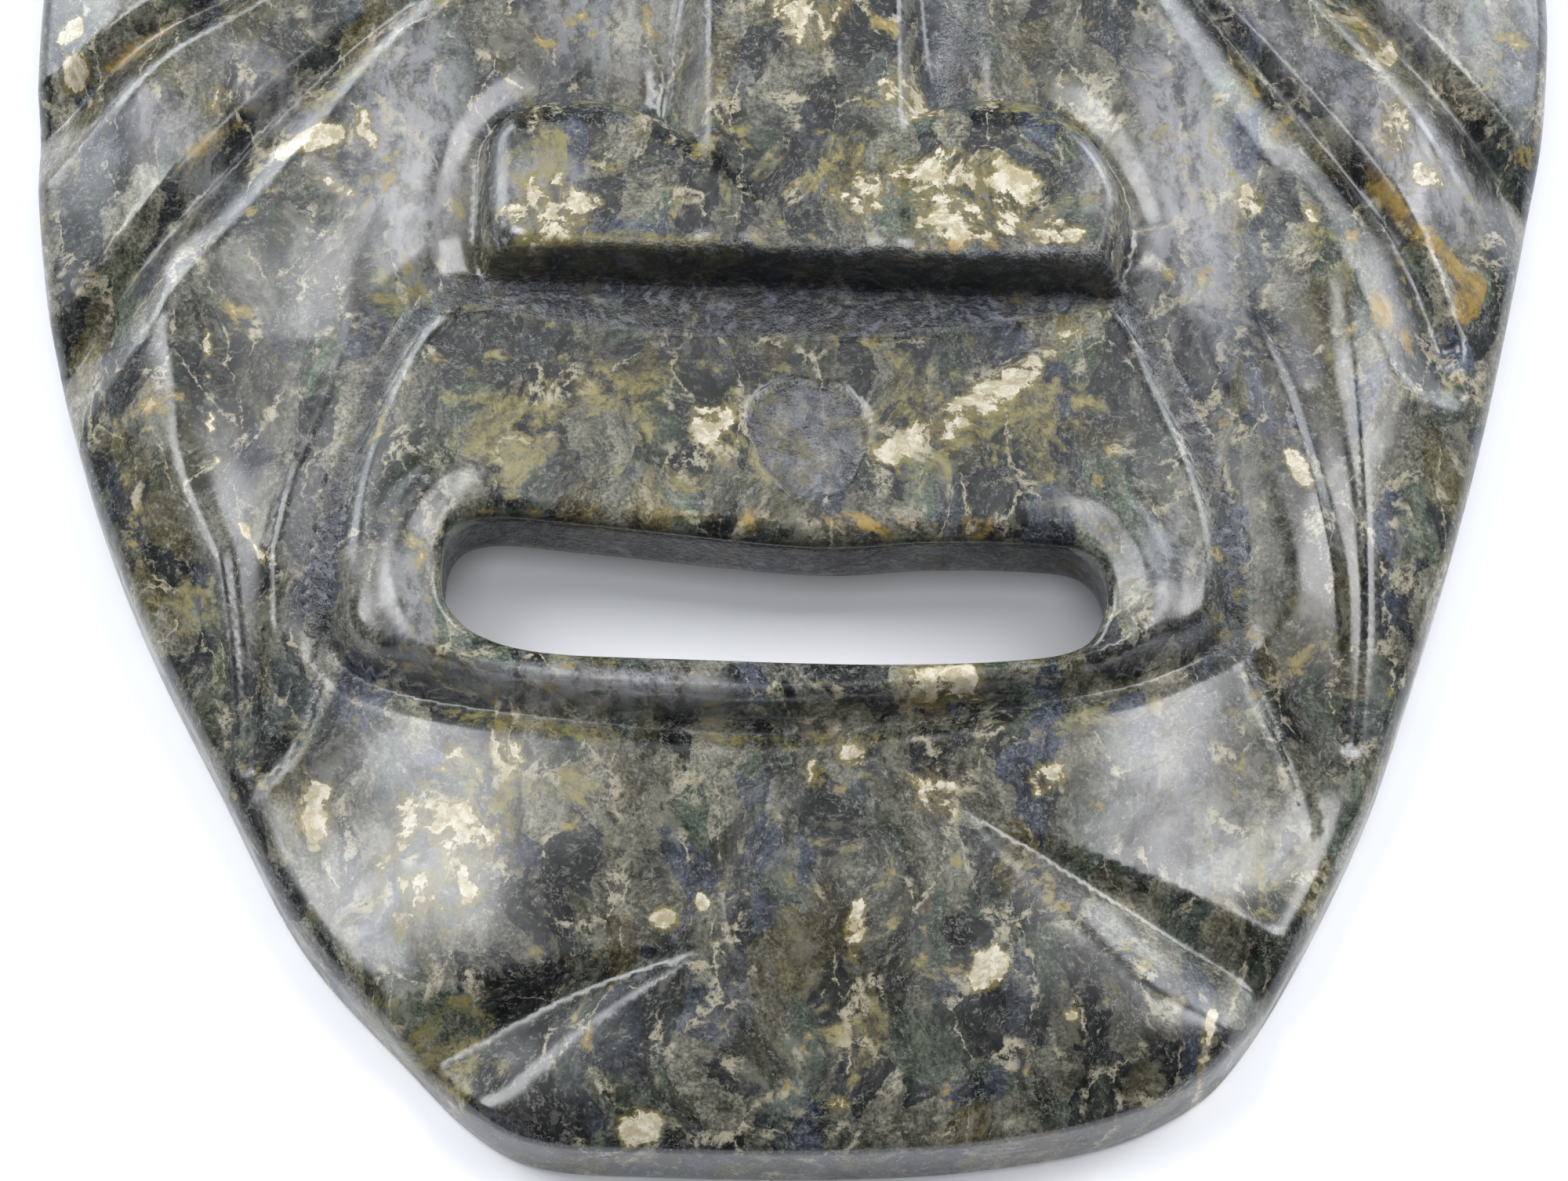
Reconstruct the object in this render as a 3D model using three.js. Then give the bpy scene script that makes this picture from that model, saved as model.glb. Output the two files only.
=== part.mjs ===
// A carved and polished stone mask lying on its back, face up.
// Millimetres. +X is to the right of the face, +Y towards the forehead, +Z out of the face. The table is z = 0.
// The front is one height over the table, face(x, y), bounded by the outline, the mouth and the two eyes.
// The back is a shallow hollow inside a flat rim that the mask rests on.
import * as THREE from 'three';

const { clamp, lerp, smoothstep } = THREE.MathUtils;

// Outline of the mask, clockwise from the middle of the chin, a smooth closed curve through these points
const OUTLINE = [
  [3.0, -74.6], [-10.0, -74.4], [-18.5, -73.7], [-23.6, -71.1], [-28.9, -65.8], [-37.2, -56.3],
  [-44.0, -43.4], [-50.6, -30.2], [-55.7, -16.7], [-59.0, -2.9], [-60.6, 15.0], [-59.6, 33.0],
  [-54.0, 49.5], [-42.5, 63.5], [-24.0, 72.0], [0.5, 74.3], [25.0, 71.9], [43.5, 63.2], [56.0, 48.5],
  [61.8, 30.0], [61.7, 14.0], [58.3, -2.9], [54.0, -20.1], [48.6, -36.9], [45.0, -46.7], [39.4, -58.0],
  [34.4, -65.8], [30.4, -69.4], [24.0, -72.2], [14.0, -74.0],
];
const OUTLINE_POINTS = 144;

// Pierced mouth, clockwise from its left end
const MOUTH = [
  [-26.4, -30.0], [-25.7, -26.6], [-22.6, -25.2], [-15.0, -25.9], [2.0, -27.7], [11.0, -27.3],
  [18.5, -27.4], [22.9, -28.1], [24.7, -30.6], [24.5, -33.6], [21.6, -36.6], [10.0, -37.5],
  [-8.0, -37.1], [-18.0, -36.6], [-23.2, -35.2], [-25.8, -32.8],
];
const MOUTH_MIDDLE = -0.8;
const MOUTH_POINTS = 60;

// Pierced eyes
const EYES = [{ x: -26, y: 33, tilt: 5 }, { x: 29, y: 33, tilt: -5 }];
const EYE_HALF_LENGTH = 13;
const EYE_HALF_HEIGHT = 3.9;
const EYE_POINTS = 36;

// Raised plate round the mouth, clockwise from below the left wing of the nose
const PLATE = [
  [-24.5, -6.3], [-29.5, -10.0], [-33.3, -19.0], [-35.2, -28.0], [-35.3, -33.5], [-32.6, -37.2],
  [-24.0, -39.8], [-9.0, -41.8], [3.0, -41.9], [21.0, -39.5], [30.0, -36.9], [34.6, -32.6],
  [33.2, -22.5], [29.6, -13.6], [26.0, -6.9], [15.0, -6.3], [2.0, -5.8], [-12.0, -5.4],
];
const PLATE_POINTS = 80;
const PLATE_TOP = 15.3;
const PLATE_SWELL = { y: -17, halfWidth: 7, height: 0.2 };
const PLATE_ENDS = { start: 25, end: 37, fall: 0.8 };
// Slope of the plate's edge, steeper at the lower lip, nearly level where it runs out under the nose
const PLATE_EDGE = { slope: 1.25, lip: 1.05, underNose: 0.95, ease: 1, lipEase: 0.7 };
const UNDER_NOSE = { start: -14, run: 4, halfWidth: 28 };
// Moat round the plate, narrower along the lip
const PLATE_MOAT = { depth: 1, width: 4.6, lipWidth: 1.8, ease: 0.12 };
const PLATE_REACH = 8;
// The lower lip and the mouth corners are rolled up round the slot
const LIP = { start: 31, run: 7, drop: 0.3 };
const CORNERS = { start: 21, run: 6, share: 0.9 };
const ROLL = { height: 0.99, away: 3.6, width: 2 };

// Edge of the blank: height of the rim, its rounding, the bevel up to the face
const RIM_HEIGHT = 8.2;
const RIM_ROUND = 2.5;
const CHIN_ROUND = 1.2;
const FOOT_ROUND = 1.0;
const HOLE_ROUND = 1.5;
const BEVEL_SLOPE = 0.62;
const BEVEL_EASE = 2;

// Height of the plain face down its middle, every 20 mm from the chin up
const FIELD_START = -80;
const FIELD_STEP = 20;
const FIELD = [7.7, 10.9, 13.0, 14.8, 15.2, 15.4, 16.2, 15.2, 10.5];
const FACE_MIDDLE = 1;
const CROWN_DROP = 1.2;
const CROWN_HALF_WIDTH = 45;

// The chin stays level in the middle and falls to the sides, down to its least height
const JOWL = { fall: 4.8, halfWidth: 34, start: 27, end: 54, least: 7.5 };

// Soft swellings: middle, half widths, height, turn in degrees
const SWELLINGS = [
  { at: [-25, -54], size: [9, 10], height: 0.8, turn: 0 },
  { at: [27, -45], size: [8, 8], height: 0.7, turn: 0 },
  { at: [33, -66], size: [13, 9], height: 2.4, turn: 0 },
  { at: [-26.5, 8], size: [5, 15], height: 1.3, turn: 0 },
  { at: [28.5, 6], size: [5, 16], height: 1.2, turn: 0 },
];
const SOCKET = { size: [16.5, 7], depth: 3, above: 0.5 };

// Nose: flat bridge, two wings
const NOSE_MIDDLE = 1.6;
const NOSE_BOTTOM = -5;
const NOSE_TIP = 20;
const NOSE_TILT = 0.036;
const NOSE_EDGE_ROUND = 1.2;
const NOSE_FALL = 0.08;
const BRIDGE_HALF_WIDTH = 7.5;
const BRIDGE_SIDE_SLOPE = 1.35;
const BRIDGE_EDGE_EASE = 0.6;
const BRIDGE_END = 24;
const WING_TOP = 10.1;
const WING_TOP_BOW = 0.042;
const WING_TAPER = 0.2;
const WING_TAPER_TOP = -1;
const WING_BOTTOM = -8;
const WING_LOWER_CORNER = 1.5;
const WING_EASE = 1.6;
const WINGS = [
  { left: -24.1, right: 0, corner: 3.2, highest: -16.4, shoulder: 3.7 },
  { left: 5, right: 27.1, corner: 6.5, highest: 16.6, shoulder: 2.7 },
];
const SHOULDER = { topRun: 4.2, sideDrop: 4.6, topDrop: 3.6 };
const WING_SIDE_SLOPE = 6;
const UNDERSIDE_SLOPE = 12;
const UNDERSIDE_FOOT = 14;
const UNDERSIDE_LEAD = 0.55;
const UNDERSIDE_ROUND = 1.8;
const NOSE_MOAT = { depth: 0.6, away: 1.2, width: 1.9, start: -6, run: 2 };
const NOSE_FOOT_EASE = 0.4;
const NOSE_REACH = -7.4;

// Brow bar over the eyes
const BROW_MIDDLE = 46.5;
const BROW_BOW = 0.003;
const BROW_HEIGHT = 19.2;
const BROW_FALL = 0.0022;
const BROW_HALF_WIDTH = 3.4;
const BROW_SIDE_SLOPE = 1.1;
const BROW_HALF_LENGTH = 40;
const BROW_FADE = 26;
const BROW_EDGE_RISE = 0.8;
const BROW_EASE = 1.2;

// How far the bridge and the brow sink where they run out
const FADE_DROP = 30;

// V cuts. Depth and the two wall widths are given at equal steps along the path
const CROWS_FEET_AND_CHIN = { edge: 0.12, valley: 0.06, power: 1 };
const CUTS = [
  {
    path: [[-30, 19.6], [-36.5, 14.6], [-47.4, 2.4], [-59.5, -12.6]],
    depth: [0.9, 2.3, 2.6, 3.0], left: [1.8, 4.2, 4.6, 4.6], right: [1.0, 2.2, 2.5, 2.6],
  },
  {
    path: [[-34, 27.5], [-44, 21.8], [-52, 17.6], [-63, 9.4]],
    depth: [0.9, 2.0, 2.5, 3.2], left: [1.2, 2.8, 3.6, 4.6], right: [0.8, 1.6, 2.2, 2.6],
  },
  {
    path: [[28.5, 26], [38.6, 13.6], [48.0, 0.6], [52.0, -9.0]],
    depth: [0.9, 2.0, 2.3, 2.2], left: [0.9, 1.4, 1.7, 1.6], right: [2.0, 4.6, 6.0, 5.0],
  },
  {
    path: [[36, 27.5], [44.4, 21.2], [55.3, 9.8], [63.5, -0.5]],
    depth: [0.8, 1.8, 2.6, 3.4], left: [0.9, 1.8, 2.7, 3.2], right: [1.2, 2.8, 4.0, 5.0],
  },
  {
    path: [[-7.2, -59.7], [-14.5, -61.6], [-21.5, -64.4], [-30.0, -68.4]],
    depth: [0.3, 1.5, 2.4, 2.8], left: [0.4, 3.0, 5.2, 5.4], right: [0.4, 1.8, 3.0, 4.4],
  },
  {
    path: [[14.2, -48.7], [22.5, -53.2], [30.5, -57.8], [38.8, -63.2]],
    depth: [0.1, 1.3, 2.9, 3.0], left: [0.3, 1.1, 3.3, 4.4], right: [0.4, 3.6, 5.3, 4.4],
  },
  {
    path: [[-35.3, -33.5], [-36.4, -38.5], [-38.0, -42.3], [-41.2, -45.8]],
    depth: [0.5, 0.7, 0.6, 0.3], left: [0.9, 1.2, 1.0, 0.5], right: [0.9, 1.2, 1.0, 0.5],
  },
  {
    path: [[34.6, -32.5], [36.6, -37.5], [39.0, -43.0], [40.6, -49.0]],
    depth: [0.5, 0.7, 0.5, 0.2], left: [0.8, 1.1, 1.0, 0.5], right: [0.9, 1.3, 1.2, 0.6],
  },
];

// Long shallow hollows from the cheeks down to the jaw, and the grooves at the foot of the bridge
const TROUGH_SHAPE = { edge: 0.08, valley: 0.1, power: 3 };
const TROUGHS = [
  {
    path: [[-41.2, 0], [-41.3, -10], [-42.2, -19], [-41.6, -27], [-41.0, -36], [-41.2, -46]],
    depth: [0.3, 1.1, 1.1, 0.8, 0.6, 0.3],
    left: [7.5, 7.0, 5.0, 1.9, 1.3, 0.4], right: [7.7, 7.4, 5.3, 2.0, 1.3, 0.4],
  },
  {
    path: [[38.5, 0], [41.8, -14], [43.9, -29], [43.6, -42]],
    depth: [0.2, 0.9, 0.6, 0.3], left: [5.0, 2.9, 1.4, 0.8], right: [5.0, 2.7, 1.3, 0.8],
  },
];
const BRIDGE_GROOVES = [
  { path: [[-9.8, 28], [-9.2, 9]], depth: [0.4, 1.3], left: [2, 3.4], right: [1, 1.6] },
  { path: [[15.6, 28], [14.4, 9]], depth: [0.4, 1.4], left: [1, 1.6], right: [2, 3.4] },
];
const PATH_STEPS = 16;

// Hollow back: its edge is the outline drawn smaller, its ceiling rises from the flat rim
const HOLLOW_SCALE = 0.86;
const HOLLOW_DEPTH = 8.4;
const HOLLOW_RISE = 13;

// How finely the front and the hollow are faceted
const FRONT_TRIANGLES = 5600;
const HOLLOW_TRIANGLES = 1000;
const SMALLEST_HEIGHT = 0.2;
const SAMPLE_STEP = 0.7;
const SWAP_ROUNDS = 4;
const SWAP_GAIN = 0.9;
const MOST_POINTS = 65536;
const ROUND_OFF = 1e-7;

// Smooth blends
function smoothMin(a, b, reach) {
  const overlap = Math.max(reach - Math.abs(a - b), 0) / reach;
  return Math.min(a, b) - overlap * overlap * reach / 4;
}

function smoothMax(a, b, reach) {
  return -smoothMin(-a, -b, reach);
}

function atStep(values, share) {
  const place = clamp(share, 0, 1) * (values.length - 1);
  const before = Math.min(Math.floor(place), values.length - 2);
  return lerp(values[before], values[before + 1], place - before);
}

// Closed and open smooth curves, drawn as evenly spaced points
function closedCurve(points, count) {
  const through = points.map(([x, y]) => new THREE.Vector3(x, y, 0));
  const curve = new THREE.CatmullRomCurve3(through, true, 'catmullrom', 0.5);
  curve.arcLengthDivisions = 40 * points.length;
  return curve.getSpacedPoints(count).slice(0, count);
}

function openCurve(points, steps) {
  const curve = new THREE.SplineCurve(points.map(([x, y]) => new THREE.Vector2(x, y)));
  return curve.getSpacedPoints(steps);
}

function eyeCurve(eye) {
  const turn = THREE.MathUtils.degToRad(eye.tilt);
  const points = [];
  for (let i = 0; i < EYE_POINTS; i += 1) {
    const angle = -2 * Math.PI * i / EYE_POINTS;
    const c = Math.cos(angle);
    const s = Math.sin(angle);
    const x = EYE_HALF_LENGTH * Math.sign(c) * Math.abs(c) ** 0.8;
    const y = EYE_HALF_HEIGHT * Math.sign(s) * Math.abs(s) ** 0.9;
    points.push(new THREE.Vector3(
      eye.x + x * Math.cos(turn) - y * Math.sin(turn),
      eye.y + x * Math.sin(turn) + y * Math.cos(turn),
      0,
    ));
  }
  return points;
}

// Distance from a point to a path, positive on the left of travel, and the share of the path's length there
function nearest(x, y, points, closed) {
  const count = closed ? points.length : points.length - 1;
  let best = Infinity;
  let side = 1;
  let share = 0;
  for (let i = 0; i < count; i += 1) {
    const a = points[i];
    const b = points[i + 1 < points.length ? i + 1 : 0];
    const dx = b.x - a.x;
    const dy = b.y - a.y;
    const px = x - a.x;
    const py = y - a.y;
    const on = Math.min(Math.max((px * dx + py * dy) / (dx * dx + dy * dy), 0), 1);
    const ax = px - on * dx;
    const ay = py - on * dy;
    const away = ax * ax + ay * ay;
    if (away < best - 1e-12) {
      best = away;
      side = dx * py - dy * px < 0 ? -1 : 1;
      share = (i + on) / count;
    }
  }
  return { distance: Math.sqrt(best) * side, share };
}

function isInside(x, y, loop) {
  let inside = false;
  for (let i = 0; i < loop.length; i += 1) {
    const a = loop[i];
    const b = loop[(i + 1) % loop.length];
    const crosses = (a.y > y) !== (b.y > y);
    if (crosses && x < (b.x - a.x) * (y - a.y) / (b.y - a.y) + a.x) inside = !inside;
  }
  return inside;
}

function depthInside(x, y, loop) {
  const away = Math.abs(nearest(x, y, loop, true).distance);
  return isInside(x, y, loop) ? away : -away;
}

// Depth of a cut with two walls of their own widths
function cutDepth(x, y, cut, shape) {
  const { distance, share } = nearest(x, y, cut.line, false);
  const width = atStep(distance > 0 ? cut.left : cut.right, share);
  const across = Math.abs(distance) / width;
  const wall = 1 - Math.hypot(across, shape.valley) ** shape.power;
  return atStep(cut.depth, share) * smoothMax(wall, 0, shape.edge);
}

function swelling(x, y, at, size, turn) {
  const angle = THREE.MathUtils.degToRad(turn);
  const u = (x - at[0]) * Math.cos(angle) + (y - at[1]) * Math.sin(angle);
  const v = (y - at[1]) * Math.cos(angle) - (x - at[0]) * Math.sin(angle);
  return Math.exp(-((u / size[0]) ** 2) - (v / size[1]) ** 2);
}

// Distance outside a wing of the nose, a box with round upper corners, and how much of that is upwards
function outsideWing(x, y, wing) {
  const crown = WING_TOP - WING_TOP_BOW * (x - wing.highest) ** 2;
  const middle = (WING_BOTTOM + crown) / 2;
  const round = y > middle ? wing.corner : WING_LOWER_CORNER;
  const taper = WING_TAPER * Math.max(WING_TAPER_TOP - y, 0);
  const across = Math.abs(x - (wing.left + wing.right) / 2);
  const qx = across - (wing.right - wing.left) / 2 + round + taper;
  const qy = Math.abs(y - middle) - (crown - WING_BOTTOM) / 2 + round;
  const [ax, ay] = [Math.max(qx, 0), Math.max(qy, 0)];
  const top = y > middle ? ay * ay / Math.max(ax * ax + ay * ay, 1e-9) : 0;
  return { outside: Math.min(Math.max(qx, qy), 0) + Math.hypot(ax, ay) - round, top };
}

const outline = closedCurve(OUTLINE, OUTLINE_POINTS).reverse();
const mouth = closedCurve(MOUTH, MOUTH_POINTS);
const plate = closedCurve(PLATE, PLATE_POINTS);
const eyes = EYES.map(eyeCurve);
for (const cut of [...CUTS, ...TROUGHS, ...BRIDGE_GROOVES]) cut.line = openCurve(cut.path, PATH_STEPS);

// Plain face: height down the middle, falling to the sides, soft swellings, bevelled to the rim
function plainFace(x, y) {
  const place = (y - FIELD_START) / FIELD_STEP;
  const i = clamp(Math.floor(place), 0, FIELD.length - 2);
  const at = (k) => FIELD[clamp(k, 0, FIELD.length - 1)];
  const [a, b, c, d] = [at(i - 1), at(i), at(i + 1), at(i + 2)];
  const f = place - i;
  const curved = (c - a) * f + (2 * a - 5 * b + 4 * c - d) * f * f + (3 * b - a - 3 * c + d) * f * f * f;
  const crown = b + 0.5 * curved - CROWN_DROP * ((x - FACE_MIDDLE) / CROWN_HALF_WIDTH) ** 2;
  const jowl = 1 - Math.exp(-(((x - FACE_MIDDLE) / JOWL.halfWidth) ** 4));
  let z = smoothMax(crown - JOWL.fall * jowl * smoothstep(-y, JOWL.start, JOWL.end), JOWL.least, 1);
  for (const { at: middle, size, height, turn } of SWELLINGS) {
    z += height * swelling(x, y, middle, size, turn);
  }
  return smoothMin(z, RIM_HEIGHT + BEVEL_SLOPE * depthInside(x, y, outline), BEVEL_EASE);
}

// Plate round the mouth in its V moat, with a rolled lower lip and rolled mouth corners
function withPlate(x, y, z) {
  const inset = depthInside(x, y, plate);
  if (inset < -PLATE_REACH) return z;
  const across = Math.abs(x - MOUTH_MIDDLE);
  const low = smoothstep(-y - LIP.start, 0, LIP.run);
  const corner = CORNERS.share * smoothstep(across - CORNERS.start, 0, CORNERS.run);
  const fromRoll = (-depthInside(x, y, mouth) - ROLL.away) / ROLL.width;
  const roll = Math.max(low, corner) * ROLL.height * Math.exp(-(fromRoll ** 2));
  const swell = PLATE_SWELL.height * Math.exp(-(((y - PLATE_SWELL.y) / PLATE_SWELL.halfWidth) ** 2));
  const end = PLATE_ENDS.fall * smoothstep(across, PLATE_ENDS.start, PLATE_ENDS.end);
  const top = PLATE_TOP + swell + roll - end - LIP.drop * low;
  const level = Math.sqrt(Math.max(1 - (x / UNDER_NOSE.halfWidth) ** 2, 0));
  const underNose = level * smoothstep(y - UNDER_NOSE.start, 0, UNDER_NOSE.run);
  const climb = PLATE_EDGE.slope + PLATE_EDGE.lip * low - PLATE_EDGE.underNose * underNose;
  const ease = lerp(PLATE_EDGE.ease, PLATE_EDGE.lipEase, low);
  if (inset > 0) return smoothMin(top, z - PLATE_MOAT.depth + climb * inset, ease);
  const width = lerp(PLATE_MOAT.width, PLATE_MOAT.lipWidth, low);
  return z - PLATE_MOAT.depth * smoothMax(1 + inset / width, 0, PLATE_MOAT.ease);
}

// Nose: flat bridge with sloping sides, two wings, an upright underside and a soft moat
function withNose(x, y, z) {
  const ridge = NOSE_TIP - NOSE_FALL * (y - NOSE_BOTTOM);
  const side = BRIDGE_SIDE_SLOPE * (Math.abs(x - NOSE_MIDDLE) - BRIDGE_HALF_WIDTH);
  const end = smoothstep(y - BROW_MIDDLE, 0, BRIDGE_END);
  const bridge = smoothMin(ridge, ridge - side, BRIDGE_EDGE_EASE) - FADE_DROP * end;
  let wings = -Infinity;
  let outside = Infinity;
  for (const wing of WINGS) {
    const edge = outsideWing(x, y, wing);
    const run = lerp(wing.shoulder, SHOULDER.topRun, edge.top);
    const drop = lerp(SHOULDER.sideDrop, SHOULDER.topDrop, edge.top);
    const short = clamp(1 + edge.outside / run, 0, 1);
    const shoulder = ridge - drop * (1 - Math.sqrt(1 - short ** 2));
    wings = Math.max(wings, shoulder - WING_SIDE_SLOPE * Math.max(edge.outside, 0));
    outside = Math.min(outside, edge.outside);
  }
  const ahead = y - NOSE_BOTTOM + UNDERSIDE_LEAD + NOSE_TILT * x;
  const underside = UNDERSIDE_FOOT + ahead * UNDERSIDE_SLOPE;
  const short = clamp(1 - ahead / UNDERSIDE_ROUND, 0, 1);
  const top = smoothMax(bridge, wings, WING_EASE) - UNDERSIDE_ROUND * (1 - Math.sqrt(1 - short ** 2));
  const block = smoothMin(top, underside, NOSE_EDGE_ROUND);
  const moat = Math.exp(-(((outside - NOSE_MOAT.away) / NOSE_MOAT.width) ** 2));
  let low = z - NOSE_MOAT.depth * moat * smoothstep(y - NOSE_MOAT.start, 0, NOSE_MOAT.run);
  for (const groove of BRIDGE_GROOVES) low -= cutDepth(x, y, groove, CROWS_FEET_AND_CHIN);
  return y > NOSE_REACH ? smoothMax(low, block, NOSE_FOOT_EASE) : low;
}

// Eye sockets and the brow bar
function withBrow(x, y, z) {
  let low = z;
  for (const eye of EYES) {
    low -= SOCKET.depth * swelling(x, y, [eye.x, eye.y + SOCKET.above], SOCKET.size, 0);
  }
  const away = Math.abs(y - BROW_MIDDLE + BROW_BOW * (x - NOSE_MIDDLE) ** 2);
  const top = BROW_HEIGHT - BROW_FALL * (x - NOSE_MIDDLE) ** 2;
  const side = top + BROW_EDGE_RISE - BROW_SIDE_SLOPE * (away - BROW_HALF_WIDTH);
  const bar = smoothMin(top, side, BROW_EASE);
  const fade = smoothstep(Math.abs(x - NOSE_MIDDLE) - BROW_HALF_LENGTH, 0, BROW_FADE);
  return smoothMax(low, bar - FADE_DROP * fade, BROW_EASE);
}

// Height of the carved face
function face(x, y) {
  let z = plainFace(x, y);
  for (const trough of TROUGHS) z -= cutDepth(x, y, trough, TROUGH_SHAPE);
  z = withPlate(x, y, z);
  z = withNose(x, y, z);
  z = withBrow(x, y, z);
  for (const cut of CUTS) z -= cutDepth(x, y, cut, CROWS_FEET_AND_CHIN);
  return z;
}

// Loops stepped inwards, into the stone, which lies on the left of travel, each point by its own distance
function shifted(loop, distance) {
  return loop.map((point, i) => {
    const before = loop[(i + loop.length - 1) % loop.length];
    const after = loop[(i + 1) % loop.length];
    const length = Math.hypot(after.x - before.x, after.y - before.y);
    const nx = (before.y - after.y) / length;
    const ny = (after.x - before.x) / length;
    const step = distance(point, i);
    return new THREE.Vector3(point.x + nx * step, point.y + ny * step, 0);
  });
}

function raised(loop, height) {
  return loop.map((point, i) => new THREE.Vector3(point.x, point.y, height(point.x, point.y, i)));
}

// Angle of the face where a rounding starts, from its fall towards the wall over a short step
function edgeAngles(loop, radius) {
  const step = 0.3;
  const near = raised(shifted(loop, (point) => 0.5 * radius(point)), face);
  const far = raised(shifted(loop, (point) => 0.5 * radius(point) + step), face);
  return loop.map((point, i) => clamp(Math.atan((far[i].z - near[i].z) / step), 0, 1));
}

// Front edge rounding: loops from the face, starting along it, out to the upright wall
function roundedEdge(loop, radius, steps) {
  const starts = edgeAngles(loop, radius);
  const radii = loop.map(radius);
  const inset = (angles) => shifted(loop, (point, i) => radii[i] * (1 - Math.sin(angles[i])));
  const inner = raised(inset(starts), face);
  const loops = [inner];
  for (let step = 1; step <= steps; step += 1) {
    const angles = starts.map((start) => lerp(start, 0.5 * Math.PI, step / steps));
    const fall = (x, y, i) => radii[i] * (Math.cos(starts[i]) - Math.cos(angles[i]));
    loops.push(raised(inset(angles), (x, y, i) => inner[i].z - fall(x, y, i)));
  }
  return loops;
}

// The rim is rounded tightly along the chin and widely elsewhere
function rimRadius(point) {
  return lerp(CHIN_ROUND, RIM_ROUND, smoothstep(point.y, -73, -62));
}

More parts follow.
